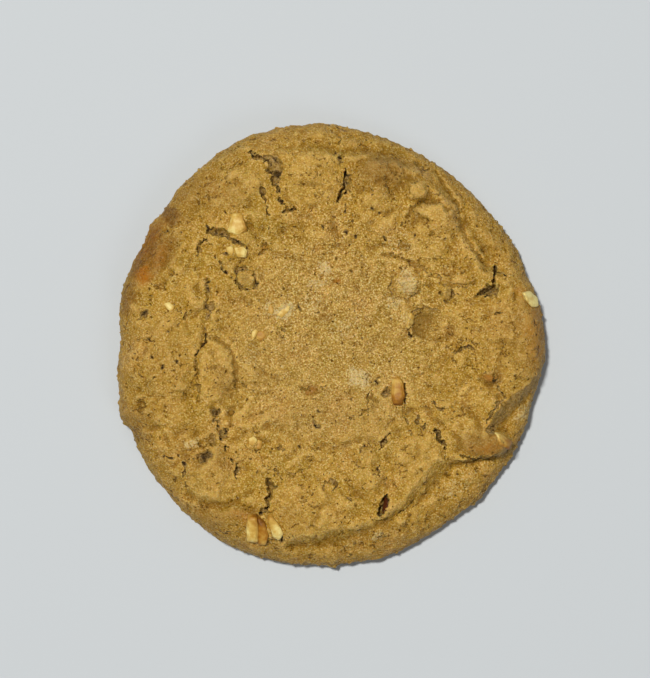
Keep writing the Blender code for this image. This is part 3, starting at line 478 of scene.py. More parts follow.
def hollows(x, y, jagged_x, jagged_y):
    """The depth, the lip and the darkness of each pit, scoop, hole, fissure, crack and fold in turn. The
    darkness is painted shade over the olive inside of the dough.
    """
    flat = np.stack([x, y, 0 * x], 1)
    ragged = each_noise(flat, RAGGED_SPACING, octaves=2, seed=71.0)
    spots = each_noise(flat, SPOT_SPACING, octaves=2, seed=83.0)
    broken = each_noise(flat, CRACK_BREAK_SPACING, seed=61.0)
    broken = smooth_step(CRACK_SHUT, CRACK_OPEN, broken)
    wild_x, wild_y = x + PIT_RAGGEDNESS * (jagged_x - x), y + PIT_RAGGEDNESS * (jagged_y - y)
    for *oval, depth, tone in PITS:
        share = 1 - smooth_step(PIT_FLOOR_SHARE, 1, oval_reach(wild_x, wild_y, *oval))
        yield depth * share, 0, tone * share
    for *oval, depth, tone in SCOOPS:
        along, across = oval_place(wild_x, wild_y, *oval)
        share = 1 - smooth_step(SCOOP_FLOOR_SHARE, 1, np.hypot(along, across))
        share *= 1 - smooth_step(-1, 1, along)
        yield depth * share, 0, tone * share
    for centre_x, centre_y, size, depth in HOLES:
        size = np.maximum(size + CRACK_RAGGEDNESS / 2 * ragged, LEAST_CRACK_WIDTH)
        reach = np.hypot(jagged_x - centre_x, jagged_y - centre_y) / size
        share = 1 - smooth_step(HOLE_FLOOR_SHARE, HOLE_REACH, reach)
        yield depth * share, 0, HOLE_TONE * share
    for depth, blackness, path in FISSURES:
        cut, lip, dark = crack_cut(jagged_x, jagged_y, ragged, spots, depth, path)
        yield cut, lip, blackness * dark
    for depth, path in THIN_CRACKS:
        cut, lip, dark = crack_cut(jagged_x, jagged_y, ragged, spots, depth, path)
        yield broken * cut, broken * lip, broken * dark
    soft_x, soft_y = (x + jagged_x) / 2, (y + jagged_y) / 2
    for depth, width, path in FOLDS:
        cut, lip, dark = crack_cut(soft_x, soft_y, ragged, spots, depth, widened(path, width))
        yield cut, lip, FOLD_TONE * dark


def top_relief(x, y):
    """For points of the top: height over the base before it rolls over, depth of cuts, lips, and darkness,
    which is painted shade over the olive inside of the dough.
    """
    radius, angle = polar(x, y)
    flat = np.stack([x, y, 0 * x], 1)
    top = CROWN_HEIGHT - PRESSED_DEPTH * (1 - smooth_step(PRESSED_RADIUS, PRESSED_RIM, radius))
    top += UNEVEN_HEIGHT * each_noise(flat, UNEVEN_SPACING, octaves=2)
    jagged_x, jagged_y = (
        axis
        + JAGGED_REACH * each_noise(flat, JAGGED_SPACING, seed=seed)
        + FRAYED_REACH * each_noise(flat, FRAYED_SPACING, seed=seed + 5)
        for axis, seed in ((x, 17.3), (y, 41.9))
    )
    drop, dark = skirt_drop((radius + polar(jagged_x, jagged_y)[0]) / 2, angle)
    top -= drop
    for *oval, height in LUMPS:
        reach = oval_reach((x + jagged_x) / 2, (y + jagged_y) / 2, *oval)
        top += height * (1 - smooth_step(LUMP_TOP, LUMP_REACH, reach))
    for spacing, height, in_middle in BILLOWS:
        strength = in_middle + (1 - in_middle) * smooth_step(BILLOW_START, BILLOW_FULL, radius)
        swell = np.hypot(each_noise(flat, spacing, octaves=2, seed=3 * spacing), CREASE_ROUNDING)
        top += height * strength * (swell - BILLOW_LEVEL)
    top = TOP_LIMIT - TOP_SOFTNESS * np.logaddexp(0, (TOP_LIMIT - top) / TOP_SOFTNESS)
    cut, lip = np.zeros((2, len(x)))
    for deeper, beside, tone in hollows(x, y, jagged_x, jagged_y):
        cut = np.maximum(cut, deeper)
        lip = np.maximum(lip, beside)
        dark = np.maximum(dark, tone)
    return top, cut, lip, dark


def surface(x, y):
    """Height of the top at x, y and how dark its cracks are there, in painted shade over the olive inside.
    """
    radius, angle = polar(x, y)
    top, cut, lip, dark = top_relief(x, y)
    roll = ROLL_LENGTH + around(ROLL_CHANGES, angle)
    inset = np.clip((outline_radius(angle) - radius) / roll, 0, 1)
    height = BELT_HEIGHT + (top - BELT_HEIGHT) * np.sqrt(1 - (1 - inset) ** 2)
    return np.maximum(height - cut + lip, np.minimum(height, LEAST_FLOOR)), dark


# ---- The dough: mesh ----
# The top is a round grid, the side a band of rings that rolls over into the flat base. Crumb, grain and
# the side's wrinkles are then pushed out along the surface.
GRID_STEPS = 214
SHOULDER_INSET = 2.5  # the band ends and the grid starts this far inside the outline
ROLL_RINGS = 12
UNDERCUT_RINGS = 5
FINE_MARGIN = 0.25  # the grid is finer this near to a crack
FINE_CUTS = 2


def round_grid():
    """A square grid bent to a round one, and the places of its border in order."""
    steps = np.linspace(-1, 1, GRID_STEPS + 1)
    a, b = (m.ravel() for m in np.meshgrid(steps, steps, indexing="ij"))
    wide = np.abs(a) > np.abs(b)
    safe_a = np.where(a == 0, 1, a)
    safe_b = np.where(b == 0, 1, b)
    radius = np.where(wide, a, b)
    angle = np.where(wide, np.pi / 4 * b / safe_a, np.pi / 2 - np.pi / 4 * a / safe_b)
    place = np.arange((GRID_STEPS + 1) ** 2).reshape(GRID_STEPS + 1, GRID_STEPS + 1)
    border = np.concatenate([place[:-1, 0], place[-1, :-1], place[:0:-1, -1], place[0, :0:-1]])
    corners = [place[:-1, :-1], place[1:, :-1], place[1:, 1:], place[:-1, 1:]]
    return radius * np.cos(angle), radius * np.sin(angle), border, np.stack([c.ravel() for c in corners], 1)


def near_a_crack(x, y):
    """Which points lie within the fine margin of a fissure, a crack or a small hole."""
    near = np.zeros(len(x), bool)
    for path in [row[-1] for row in FISSURES] + [row[-1] for row in THIN_CRACKS]:
        for start, end in zip(path, path[1:]):
            near |= beside_line(x, y, start, end)[1] < max(start[2], end[2]) / 2 + FINE_MARGIN
    for centre_x, centre_y, size, _ in HOLES:
        near |= np.hypot(x - centre_x, y - centre_y) < size + FINE_MARGIN
    return near


def new_mesh(name, points, faces):
    mesh = bpy.data.meshes.new(name)
    mesh.from_pydata((points * METRES).tolist(), [], [list(f) for f in faces])
    mesh.update()
    return mesh


def refined(points, faces, fine):
    """The flat grid with the marked faces split into small ones and their neighbours fitted to them."""
    build = bmesh.new()
    build.from_mesh(new_mesh("flat_grid", points, faces))
    build.faces.ensure_lookup_table()
    edges = {edge for k in np.flatnonzero(fine) for edge in build.faces[k].edges}
    bmesh.ops.subdivide_edges(build, edges=list(edges), cuts=FINE_CUTS, use_grid_fill=True)
    bmesh.ops.triangulate(build, faces=[f for f in build.faces if len(f.verts) > 4])
    points = np.array([v.co for v in build.verts]) / METRES
    faces = [[v.index for v in f.verts] for f in build.faces]
    build.free()
    return points, faces


def vertex_normals(mesh):
    normals = np.empty(len(mesh.vertices) * 3, np.float32)
    mesh.vertex_normals.foreach_get("vector", normals)
    return normals.reshape(-1, 3)


def out_from_pole(radius, angle):
    return POLE_X + radius * np.cos(angle), POLE_Y + radius * np.sin(angle)


grid_x, grid_y, border, faces = round_grid()
angle = np.arctan2(grid_y, grid_x)
radius = np.hypot(grid_x, grid_y) * (outline_radius(angle) - SHOULDER_INSET)
flat = np.stack([*out_from_pole(radius, angle), 0 * radius], 1)
middles = flat[faces].mean(1)
fine = near_a_crack(middles[:, 0], middles[:, 1])
fine &= np.isin(faces, border).sum(1) == 0
angle = angle[border]
flat, faces = refined(flat, faces.tolist(), fine)
height, cut = surface(flat[:, 0], flat[:, 1])
rings = [np.stack([flat[:, 0], flat[:, 1], height], 1)]
cuts = [cut]
roll = ROLL_LENGTH + around(ROLL_CHANGES, angle)
shoulder = np.arccos(1 - SHOULDER_INSET / roll)
for k in range(1, ROLL_RINGS + 1):
    # From the shoulder down to the belt.
    inset = roll * (1 - np.cos(shoulder * (1 - k / ROLL_RINGS)))
    x, y = out_from_pole(outline_radius(angle) - inset, angle)
    height, cut = surface(x, y)
    rings.append(np.stack([x, y, height], 1))
    cuts.append(cut)
for k in range(1, UNDERCUT_RINGS + 1):
    # A quarter of an oval from the belt in and down to the base.
    turn = k / UNDERCUT_RINGS * np.pi / 2
    x, y = out_from_pole(outline_radius(angle) - FOOT_INSET * (1 - np.cos(turn)), angle)
    rings.append(np.stack([x, y, np.full_like(x, BELT_HEIGHT * (1 - np.sin(turn)))], 1))
    cuts.append(np.zeros_like(x))
points = np.concatenate(rings)
cuts = np.concatenate(cuts)
ring_count = len(border)
band = [border] + [len(rings[0]) + k * ring_count + np.arange(ring_count) for k in range(len(rings) - 1)]
for upper, lower in zip(band, band[1:]):
    faces += np.stack([upper, lower, np.roll(lower, -1), np.roll(upper, -1)], 1).tolist()
faces.append(band[-1][::-1].tolist())
mesh = new_mesh("dough", points, faces)
normals = vertex_normals(mesh)
if normals[: len(rings[0]), 2].mean() < 0:
    raise RuntimeError("the dough is inside out")

# Crumb: what the oven made of the surface, from broad blisters down to single grains.
BLISTER_SPACING, BLISTER_HEIGHT = 2.4, 0.28
SIDE_BLISTER_LOSS = 0.6
GRAIN_SPACING, GRAIN_HEIGHT, GRAIN_LEVEL = 1.1, 0.13, 0.5
WRINKLE_SPACING, WRINKLE_HEIGHT, WRINKLE_STRETCH = 0.8, 0.13, (0.6, 1, 1)
SIDE_WRINKLE_SPACING, SIDE_WRINKLE_HEIGHT, SIDE_WRINKLE_STRETCH = 1.3, 0.24, (1, 1, 1.8)
RIM_CRUMB_SPACING, RIM_CRUMB_HEIGHT, RIM_CRUMB_STRETCH = 1.1, 0.9, (1, 1, 0.7)
RIM_CRUMB_LEVEL = 0.34
SIDE_FROM, SIDE_TO = 0.35, 0.8  # upward parts of the normal between which the side ends
BASE_HEIGHT = 0.02  # points below this are the base and stay flat
SETTLE_HEIGHT = 1.5  # the crumb fades out below this
on_base = points[:, 2] < BASE_HEIGHT
settle = smooth_step(0.0, SETTLE_HEIGHT, points[:, 2])
blisters = each_noise(points, BLISTER_SPACING, octaves=3, seed=5.0)
grain = np.array([noise.voronoi(p)[0][0] for p in (points / GRAIN_SPACING).tolist()])
wrinkles = each_noise(points * WRINKLE_STRETCH, WRINKLE_SPACING, seed=31.0)
side_wrinkles = each_noise(points * SIDE_WRINKLE_STRETCH, SIDE_WRINKLE_SPACING, octaves=3, seed=9.0)
rim_crumbs = each_noise(points * RIM_CRUMB_STRETCH, RIM_CRUMB_SPACING, octaves=2, seed=19.0)
rim_crumbs = np.maximum(0, rim_crumbs - RIM_CRUMB_LEVEL)
steep = 1 - smooth_step(SIDE_FROM, SIDE_TO, normals[:, 2])
push = (
    BLISTER_HEIGHT * (1 - SIDE_BLISTER_LOSS * steep) * blisters
    - GRAIN_HEIGHT * (grain - GRAIN_LEVEL)
    + WRINKLE_HEIGHT * wrinkles
    + steep * (SIDE_WRINKLE_HEIGHT * side_wrinkles + RIM_CRUMB_HEIGHT * rim_crumbs)
)
points = points + normals * (push * settle)[:, None]
points[on_base, 2] = 0


def move_points(mesh, points):
    mesh.vertices.foreach_set("co", (points * METRES).astype(np.float32).ravel())
    mesh.update()


def hollow_share(mesh, points, rounds):
    """How far each point lies above (+) or below (-) its surroundings, averaged this many times."""
    edges = np.empty(len(mesh.edges) * 2, np.int32)
    mesh.edges.foreach_get("vertices", edges)
    start, end = edges.reshape(-1, 2).T
    count = np.bincount(start, minlength=len(points)) + np.bincount(end, minlength=len(points))
    mean = points
    for _ in range(rounds):
        totals = [
            np.bincount(start, axis[end], len(points)) + np.bincount(end, axis[start], len(points))
            for axis in mean.T
        ]
        mean = np.stack(totals, 1) / count[:, None]
    return ((points - mean) * vertex_normals(mesh)).sum(1)


move_points(mesh, points)

# ---- The dough: browning, painted light and painted shade ----
# Baked peanut dough is golden where it is thick, browner at its edge and on its knobs, olive and dull in
# the cracks where the inside shows, and pale where flour and nut paste lie near the surface. On top of
# that, shade is painted into the cracks, pits, holes and folds and into one browned patch, and light and
# shade onto the crumb's tops and hollows.
# Browned patches: x, y, half length, half width, turn in degrees, amount. The patch at 17.5, 4.2 is
# painted shade on the steep left wall of the hollow there.
BROWNED_AND_SHADED = (
    (10, 34.3, 6, 4, -8, 0.62), (-31.8, 25.8, 2.3, 2.4, 0, 1.2), (19, 28.6, 3, 1.6, -8, 0.3),
    (15.9, 25.8, 1, 2.4, -30, 0.3), (24.2, 24.2, 1, 3, 35, 0.3), (28, 25, 3, 7, 40, 0.15),
    (-24, -34, 4, 3, -30, 0.5), (-37.2, 18.6, 2.5, 7, -30, 1.15), (-34.2, 18.4, 3.2, 5.6, -30, 0.75),
    (-40.6, 9.4, 1.9, 4.2, -12, 0.85), (-39, -16, 4, 6, 0, 0.5), (-18, -33.4, 3.5, 2.2, 0, 0.36),
    (-8, -34, 2.6, 2.6, 0, 0.3), (39.5, 3, 4.5, 12, 0, 0.36), (-34, -6, 5, 11, 0, 0.18),
    (33.5, 2, 4.5, 7, 0, 0.14), (0, -14, 12, 4, 0, 0.12), (-19.8, -37, 13, 3.6, -25, 0.34),
    (6, -39.5, 14, 3, 12, 0.32), (30, 22, 2.4, 8, 35, 0.18), (-29, 29, 9, 4.5, 45, 0.46),
    (-27, -21, 8, 6, 0, 0.2), (-2, -41, 12, 2.6, 0, 0.2), (30, -19.6, 5.5, 2.5, -10, 0.62),
    (31.2, -6.6, 2.2, 1.6, -20, 0.6), (17.5, 4.2, 1.7, 2.2, 0, 0.34), (-1.2, 5.6, 1.6, 1.2, 0, 0.5),
    (-4, -8.9, 2.2, 0.9, 0, 0.6), (-21, -7, 2.4, 3, 0, 0.3), (-20, 30, 4, 3, 30, 0.3),
)
# Where the crust caught most heat it is orange red: as for the browned patches.
REDDENED = (
    (-37.1, 14, 1.8, 2.6, -30, 0.95), (-34.4, 17.6, 2, 3.6, -35, 0.36), (-36.6, 21, 2.6, 6, -30, 0.3),
    (31, -6.2, 1.7, 1, -20, 0.7), (40.5, 3, 2.6, 9, 0, 0.35), (37.4, 10.6, 2, 1, 10, 0.4),
    (1.1, 12.5, 1, 0.7, -10, 0.9), (-13, 19, 1, 0.7, 30, 0.5), (-4, -8.9, 1.8, 0.6, 0, 0.4),
    (32, -17.6, 1.6, 0.8, 0, 0.5), (30, -20.6, 4.6, 1.4, 6, 0.35), (-18, -33.6, 3, 1.2, -10, 0.35),
)
# Pale patches: as for the browned ones.
PALE = (
    (-9.3, 6.7, 2.5, 1.5, 35, 0.9), (-1.5, 15.3, 1.5, 1.4, 0, 0.7), (5.2, -6.5, 2.6, 2.2, -40, 0.8),
    (-2.5, 12.5, 2.6, 1.8, 20, 0.4), (-4, 8.5, 2.4, 2.2, 60, 0.4), (12, 8.5, 1.6, 1.4, 0, 0.6),
    (-27.8, -19.5, 1.8, 1.2, 20, 0.6), (9.1, -37.9, 1.2, 1, 0, 0.6), (-12, 7.4, 1.2, 1.6, 0, 0.5),
    (1.5, 3, 3, 2.4, 0, 0.3), (-15.5, -1.5, 1.6, 2.4, 0, 0.3), (15, 5, 1.2, 2, 0, 0.4),
    (15, 12.4, 2.2, 3, 10, 0.75), (13, 20, 4, 3, 0, 0.25), (25, -28, 4.6, 2, 42, 0.3),
    (37.9, -13.4, 2.8, 1.4, 48, 0.5),
)
# A patch fades out between two shares of its size.
BROWNED_AND_SHADED_FADE, REDDENED_FADE, PALE_FADE = (0.4, 1.5), (0.3, 1.3), (0.6, 1.2)
PATCH_WOBBLE, PATCH_WOBBLE_SPACING = 0.8, 2.2  # how far the borders of patches wander
EDGE_BROWNING, EDGE_BROWNING_REACH = 0.36, 8.0
EDGE_EVEN_SHARE, EDGE_UNEVEN_SHARE = 0.8, 0.6
FOOT_BROWNING_SHARE, FOOT_LOW, FOOT_HIGH = 0.4, 2, 7  # patches are weaker near the base
PRESSED_FADE = 8
GRAINY_X, GRAINY_Y, GRAINY_NEAR, GRAINY_FAR = 6, 10, 8, 30  # ground nut shows most round this place
GRAIN_ROUNDS, CRUMB_ROUNDS = 4, 20


def patches(rows, x, y, inner, outer):
    """The largest amount of the ovals round each point, which fades out from inner to outer reach."""
    total = np.zeros_like(x)
    for *oval, amount in rows:
        total = np.maximum(total, amount * (1 - smooth_step(inner, outer, oval_reach(x, y, *oval))))
    return total


def set_attribute(mesh, name, values):
    attribute = mesh.attributes.new(name, "FLOAT", "POINT")
    attribute.data.foreach_set("value", values.astype(np.float32))


wobble_x, wobble_y = (
    each_noise(points, PATCH_WOBBLE_SPACING, octaves=2, seed=seed) for seed in (3.0, 8.0)
)
x, y = points[:, 0] + PATCH_WOBBLE * wobble_x, points[:, 1] + PATCH_WOBBLE * wobble_y
radius, angle = polar(x, y)
inset = outline_radius(angle) - radius
edge_browning = EDGE_BROWNING * (1 - smooth_step(0.0, EDGE_BROWNING_REACH, inset))
edge_browning *= EDGE_EVEN_SHARE + EDGE_UNEVEN_SHARE * wobble_y
off_base = smooth_step(FOOT_LOW, FOOT_HIGH, points[:, 2])
patch_browning_and_shade = patches(BROWNED_AND_SHADED, x, y, *BROWNED_AND_SHADED_FADE)
patch_browning_and_shade *= FOOT_BROWNING_SHARE + (1 - FOOT_BROWNING_SHARE) * off_base
browned_and_shaded = np.maximum(edge_browning, patch_browning_and_shade)
set_attribute(mesh, "browned_and_shaded", np.clip(browned_and_shaded, 0, 1))
set_attribute(mesh, "reddened", np.clip(patches(REDDENED, x, y, *REDDENED_FADE), 0, 1))
set_attribute(mesh, "pale", np.clip(patches(PALE, x, y, *PALE_FADE), 0, 1))
set_attribute(mesh, "raised", np.clip(patches(LUMPS, x, y, LUMP_TOP, LUMP_REACH), 0, 1))
# Painted shade in the cracks, pits, holes and folds, over the olive inside of the dough.
set_attribute(mesh, "crack_inside_and_shade", np.clip(cuts, 0, 1))
set_attribute(mesh, "pressed", 1 - smooth_step(PRESSED_RADIUS - PRESSED_FADE, PRESSED_RIM, radius))
grainy = 1 - smooth_step(GRAINY_NEAR, GRAINY_FAR, np.hypot(x - GRAINY_X, y - GRAINY_Y))
set_attribute(mesh, "grainy", grainy)
# Painted light on the tops of crumb and grain and painted shade in their hollows are laid by these.
set_attribute(mesh, "grain_light_and_shade", hollow_share(mesh, points, GRAIN_ROUNDS))
set_attribute(mesh, "crumb_light_and_shade", hollow_share(mesh, points, CRUMB_ROUNDS))

# ---- The dough: material ----
# Baked dough of flour, butter, brown sugar and ground peanuts. Grains of several colours, small pores and
# hair cracks show in its crust, which the heat browned in patches. Its colour also paints shade into the
# cracks, creases, hair cracks and pores, light and shade onto the crumb, and glints into the light specks.
DOUGH_COLOUR = "B38A2A"
MEASURED = ("browned_and_shaded", "reddened", "pale", "raised", "crack_inside_and_shade", "pressed", "grainy")
MEASURED += ("grain_light_and_shade", "crumb_light_and_shade")
# Random clouds of light and dark: name, spacing, detail, roughness, distortion. Ground nut goes down to
# 0.1 mm, which is too fine to show, so the specks are drawn 0.3 mm apart. The light specks are partly
# sugar and partly painted glints.
CLOUDS = (
    ("swells", 7.0, 2.0, 0.6, 0.0),
    ("blotches", 2.6, 3.0, 0.8, 0.0),
    ("worms", 0.9, 2.0, 0.7, 2.0),
    ("grains", 0.45, 1.0, 0.6, 0.0),
    ("specks_and_glints", 0.3, 0.0, 0.6, 0.0),
)
# Pulled places, so that plates and pores have no even outline: spacing, detail and reach of the pull.
PULLS = {"plates": (1.5, 2.0, 3.0), "pores": (0.8, 1.0, 1.0)}
PLATE_SPACING = 4.5
# Ramps: name, pattern, where it starts and ends, and the values there.
RAMPS = (
    ("lively", "swells", 0.35, 0.65, 0.5, 1.0),
    ("grain_strength", "grainy", 0.0, 1.0, 0.72, 1.0),
    ("brown_worms", "worms", 0.3, 0.6, 1.0, 0.72),
    ("red_worms", "worms", 0.3, 0.6, 0.6, 1.0),
    ("pale_fray", "grains", 0.3, 0.7, -0.45, 0.35),
    ("crack_fray", "worms", 0.3, 0.7, -0.08, 0.08),
    ("torn_grains", "grains", 0.35, 0.65, 0.0, 1.0),
    ("open_patch", "blotches", 0.46, 0.38, 0.0, 1.0),
    ("open_ring", "pressed", 0.0, 1.0, 1.0, 0.5),
    ("hair_line", "plate_border", 0.01, 0.04, 1.0, 0.0),
    ("crease_line", "plate_border", 0.0, 0.14, 1.0, 0.0),
    ("roughness", "blotches", 0.3, 0.7, 0.42, 0.56),
)
# Two sizes of pore: spacing of the cells, size in cells, and share of the cells that have one.
PORES = ((1.9, 0.12, 0.45), (0.85, 0.16, 0.42))
PORE_CORE, PORE_RIM = 0.4, 1.6  # shares of the size between which a pore's side slopes
# Patterns made of two others: name, how, first, second. Hair cracks run along the borders of random plates
# and break off again.
JOINED = (
    ("pale_crumb", "ADD", "pale", "pale_fray"),
    ("crack_tone", "ADD", "crack_inside_and_shade", "crack_fray"),
    ("open", "MULTIPLY", "open_patch", "open_ring"),
    ("hair", "MULTIPLY", "hair_line", "open"),
    ("crease", "MULTIPLY", "crease_line", "open"),
    ("pore", "MAXIMUM", "wide_pores", "small_pores"),
    ("hollow", "MAXIMUM", "pore", "crease"),
)
TORN_DARK, TORN_LIGHT = "8A6C34", "B6965C"
# Tints, each over the one before: pattern, where it starts and ends, strength, colour, and the pattern
# that it is weakened by.
TINTS = (
    ("pressed", 0.0, 1.0, 1.0, "B89344"),
    ("swells", 0.5, 0.72, 0.6, "C29448"),
    ("swells", 0.5, 0.28, 0.6, "A08024"),
    ("blotches", 0.5, 0.8, 0.4, "CCA856"),
    ("blotches", 0.5, 0.25, 0.35, "9C6E16"),
    ("worms", 0.5, 0.75, 0.5, "E2BE72", "lively"),
    ("worms", 0.5, 0.28, 0.45, "8C6008", "lively"),
    ("grains", 0.5, 0.75, 0.45, "E8C77E", "grain_strength"),
    ("grains", 0.5, 0.3, 0.46, "845A06", "grain_strength"),
    # Light specks: sugar grains and painted glints.
    ("specks_and_glints", 0.58, 0.75, 0.56, "FBE09E", "grain_strength"),
    ("specks_and_glints", 0.42, 0.28, 0.5, "744800", "grain_strength"),
    ("raised", 0.0, 1.0, 0.3, "CEA656"),
    # Painted light on the crumb's and the grain's tops.
    ("crumb_light_and_shade", -0.05, 0.5, 0.3, "D6AC5A"),
    ("grain_light_and_shade", 0.03, 0.2, 0.25, "E6C476"),
    ("browned_and_shaded", 0.0, 1.0, 1.0, "6C4200", "brown_worms"),
    ("reddened", 0.0, 1.0, 1.0, "A86604", "red_worms"),
    ("pale_crumb", 0.1, 0.9, 0.6, "D8C48E"),
    # Painted shade in the crumb's and the grain's hollows.
    ("crumb_light_and_shade", 0.05, -0.55, 0.35, "7E5804"),
    ("grain_light_and_shade", -0.02, -0.2, 0.3, "6A4200"),
    # Olive and grey-brown where the inside shows, then near black at the darkest: painted shade.
    ("crack_tone", 0.08, 0.3, 0.6, "866824"),
    ("crack_tone", 0.25, 0.5, 0.95, "torn"),
    ("crack_tone", 0.46, 0.95, 0.95, "2A1600"),
    # Creases between plates, hair cracks and pores: painted shade.
    ("crease", 0.0, 1.0, 0.3, "8A6004"),
    ("hair", 0.0, 1.0, 0.65, "4A2C00"),
    ("pore", 0.0, 1.0, 0.85, "4A2C00"),
)
RELIEF = (("worms", 0.7), ("grains", 0.4), ("hollow", -0.5))
RELIEF_HEIGHT = 0.55


def srgb(code):
    """A hex colour such as "AE8B45", as linear red, green, blue and alpha."""
    values = [int(code[k : k + 2], 16) / 255 for k in (0, 2, 4)]
    return (*(v / 12.92 if v <= 0.04045 else ((v + 0.055) / 1.055) ** 2.4 for v in values), 1)


def add_node(tree, kind, inputs=None, **settings):
    """Adds a node, sets its properties, and sets or links its inputs, which go by name or number."""
    node = tree.nodes.new(kind)
    for name, value in settings.items():
        setattr(node, name, value)
    for name, value in (inputs or {}).items():
        if isinstance(value, bpy.types.NodeSocket):
            tree.links.new(value, node.inputs[name])
        else:
            node.inputs[name].default_value = value
    return node


def new_material(name):
    material = bpy.data.materials.new(name)
    material.use_nodes = True
    material.node_tree.nodes.clear()
    return material, material.node_tree


def per_mm(spacing):
    """The scale of a pattern in metres whose features are this many millimetres apart."""
    return 1 / (spacing * METRES)


def dough_patterns(tree):
    """The patterns that the dough's colour, shine and relief are mixed from, by name."""
    place = add_node(tree, "ShaderNodeTexCoord").outputs["Object"]
    fields = {}
    for name in MEASURED:
        fields[name] = add_node(tree, "ShaderNodeAttribute", attribute_name=name).outputs["Fac"]
    for name, spacing, detail, roughness, distortion in CLOUDS:
        inputs = {"Vector": place, "Scale": per_mm(spacing), "Detail": detail}
        inputs |= {"Roughness": roughness, "Distortion": distortion}
        fields[name] = add_node(tree, "ShaderNodeTexNoise", inputs).outputs["Fac"]
    pulled = {}
    for name, (spacing, detail, reach) in PULLS.items():
        inputs = {"Vector": place, "Scale": per_mm(spacing), "Detail": detail}
        pull = add_node(tree, "ShaderNodeTexNoise", inputs).outputs["Color"]
        inputs = {0: pull, 1: (0.5, 0.5, 0.5)}
        pull = add_node(tree, "ShaderNodeVectorMath", inputs, operation="SUBTRACT").outputs[0]
        inputs = {0: pull, "Scale": reach * METRES}
        pull = add_node(tree, "ShaderNodeVectorMath", inputs, operation="SCALE").outputs[0]
        inputs = {0: place, 1: pull}
        pulled[name] = add_node(tree, "ShaderNodeVectorMath", inputs, operation="ADD").outputs[0]
    inputs = {"Vector": pulled["plates"], "Scale": per_mm(PLATE_SPACING)}
    plates = add_node(tree, "ShaderNodeTexVoronoi", inputs, feature="DISTANCE_TO_EDGE")
    fields["plate_border"] = plates.outputs["Distance"]
    for name, pattern, low, high, start, end in RAMPS:
        inputs = {"Value": fields[pattern], "From Min": low, "From Max": high}
        inputs |= {"To Min": start, "To Max": end}
        ramp = add_node(tree, "ShaderNodeMapRange", inputs, interpolation_type="SMOOTHSTEP")
        fields[name] = ramp.outputs["Result"]
    for name, (spacing, size, share) in zip(("wide_pores", "small_pores"), PORES):
        inputs = {"Vector": pulled["pores"], "Scale": per_mm(spacing)}
        cells = add_node(tree, "ShaderNodeTexVoronoi", inputs, feature="F1").outputs
        red = add_node(tree, "ShaderNodeSeparateColor", {"Color": cells["Color"]}).outputs["Red"]
        inputs = {0: fields["lively"], 1: share}
        limit = add_node(tree, "ShaderNodeMath", inputs, operation="MULTIPLY").outputs[0]
        chosen = add_node(tree, "ShaderNodeMath", {0: red, 1: limit}, operation="LESS_THAN").outputs[0]
        inputs = {"Value": cells["Distance"], "From Min": size * PORE_CORE, "From Max": size * PORE_RIM}
        inputs |= {"To Min": 1.0, "To Max": 0.0}
        pit = add_node(tree, "ShaderNodeMapRange", inputs, interpolation_type="SMOOTHSTEP")
        inputs = {0: pit.outputs["Result"], 1: chosen}
        fields[name] = add_node(tree, "ShaderNodeMath", inputs, operation="MULTIPLY").outputs[0]
    for name, operation, first, second in JOINED:
        inputs = {0: fields[first], 1: fields[second]}
        fields[name] = add_node(tree, "ShaderNodeMath", inputs, operation=operation).outputs[0]
    inputs = {0: fields["torn_grains"], 6: srgb(TORN_DARK), 7: srgb(TORN_LIGHT)}
    fields["torn"] = add_node(tree, "ShaderNodeMix", inputs, data_type="RGBA").outputs[2]
    return fields


def baked_peanut_dough():
    """Baked dough: dull, slightly oily, full of fine pores, with ground nut grains of several colours."""
    material, tree = new_material("baked_peanut_dough")
    fields = dough_patterns(tree)
    colour = srgb(DOUGH_COLOUR)
    for pattern, low, high, strength, tint, *weakened_by in TINTS:
        inputs = {"Value": fields[pattern], "From Min": low, "From Max": high, "To Max": strength}
        shape = "LINEAR" if (low, high) == (0.0, 1.0) else "SMOOTHSTEP"
        share = add_node(tree, "ShaderNodeMapRange", inputs, interpolation_type=shape).outputs["Result"]
        for name in weakened_by:
            inputs = {0: share, 1: fields[name]}
            share = add_node(tree, "ShaderNodeMath", inputs, operation="MULTIPLY").outputs[0]
        inputs = {0: share, 6: colour, 7: fields[tint] if tint in fields else srgb(tint)}
        colour = add_node(tree, "ShaderNodeMix", inputs, data_type="RGBA").outputs[2]
    relief = 0.0
    for pattern, share in RELIEF:
        inputs = {0: fields[pattern], 1: share, 2: relief}
        relief = add_node(tree, "ShaderNodeMath", inputs, operation="MULTIPLY_ADD").outputs[0]
    inputs = {"Height": relief, "Strength": 1.0, "Distance": RELIEF_HEIGHT * METRES}
    bump = add_node(tree, "ShaderNodeBump", inputs)
    inputs = {
        "Base Color": colour,
        "Roughness": fields["roughness"],
        "IOR": 1.47,
        "Specular IOR Level": 0.16,
        "Subsurface Weight": 0.5,
        "Subsurface Radius": (1.0, 0.6, 0.2),
        "Subsurface Scale": 0.5 * METRES,
        "Normal": bump.outputs["Normal"],
    }
    shader = add_node(tree, "ShaderNodeBsdfPrincipled", inputs)
    add_node(tree, "ShaderNodeOutputMaterial", {"Surface": shader.outputs["BSDF"]})
    return material


def new_object(name, data):
    """An object in the scene that shows this mesh, light or camera."""
    thing = bpy.data.objects.new(name, data)
    bpy.context.scene.collection.objects.link(thing)
    return thing


mesh.materials.append(baked_peanut_dough())
mesh.shade_smooth()
dough = new_object("dough", mesh)
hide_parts("cookie")
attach(dough, "root")

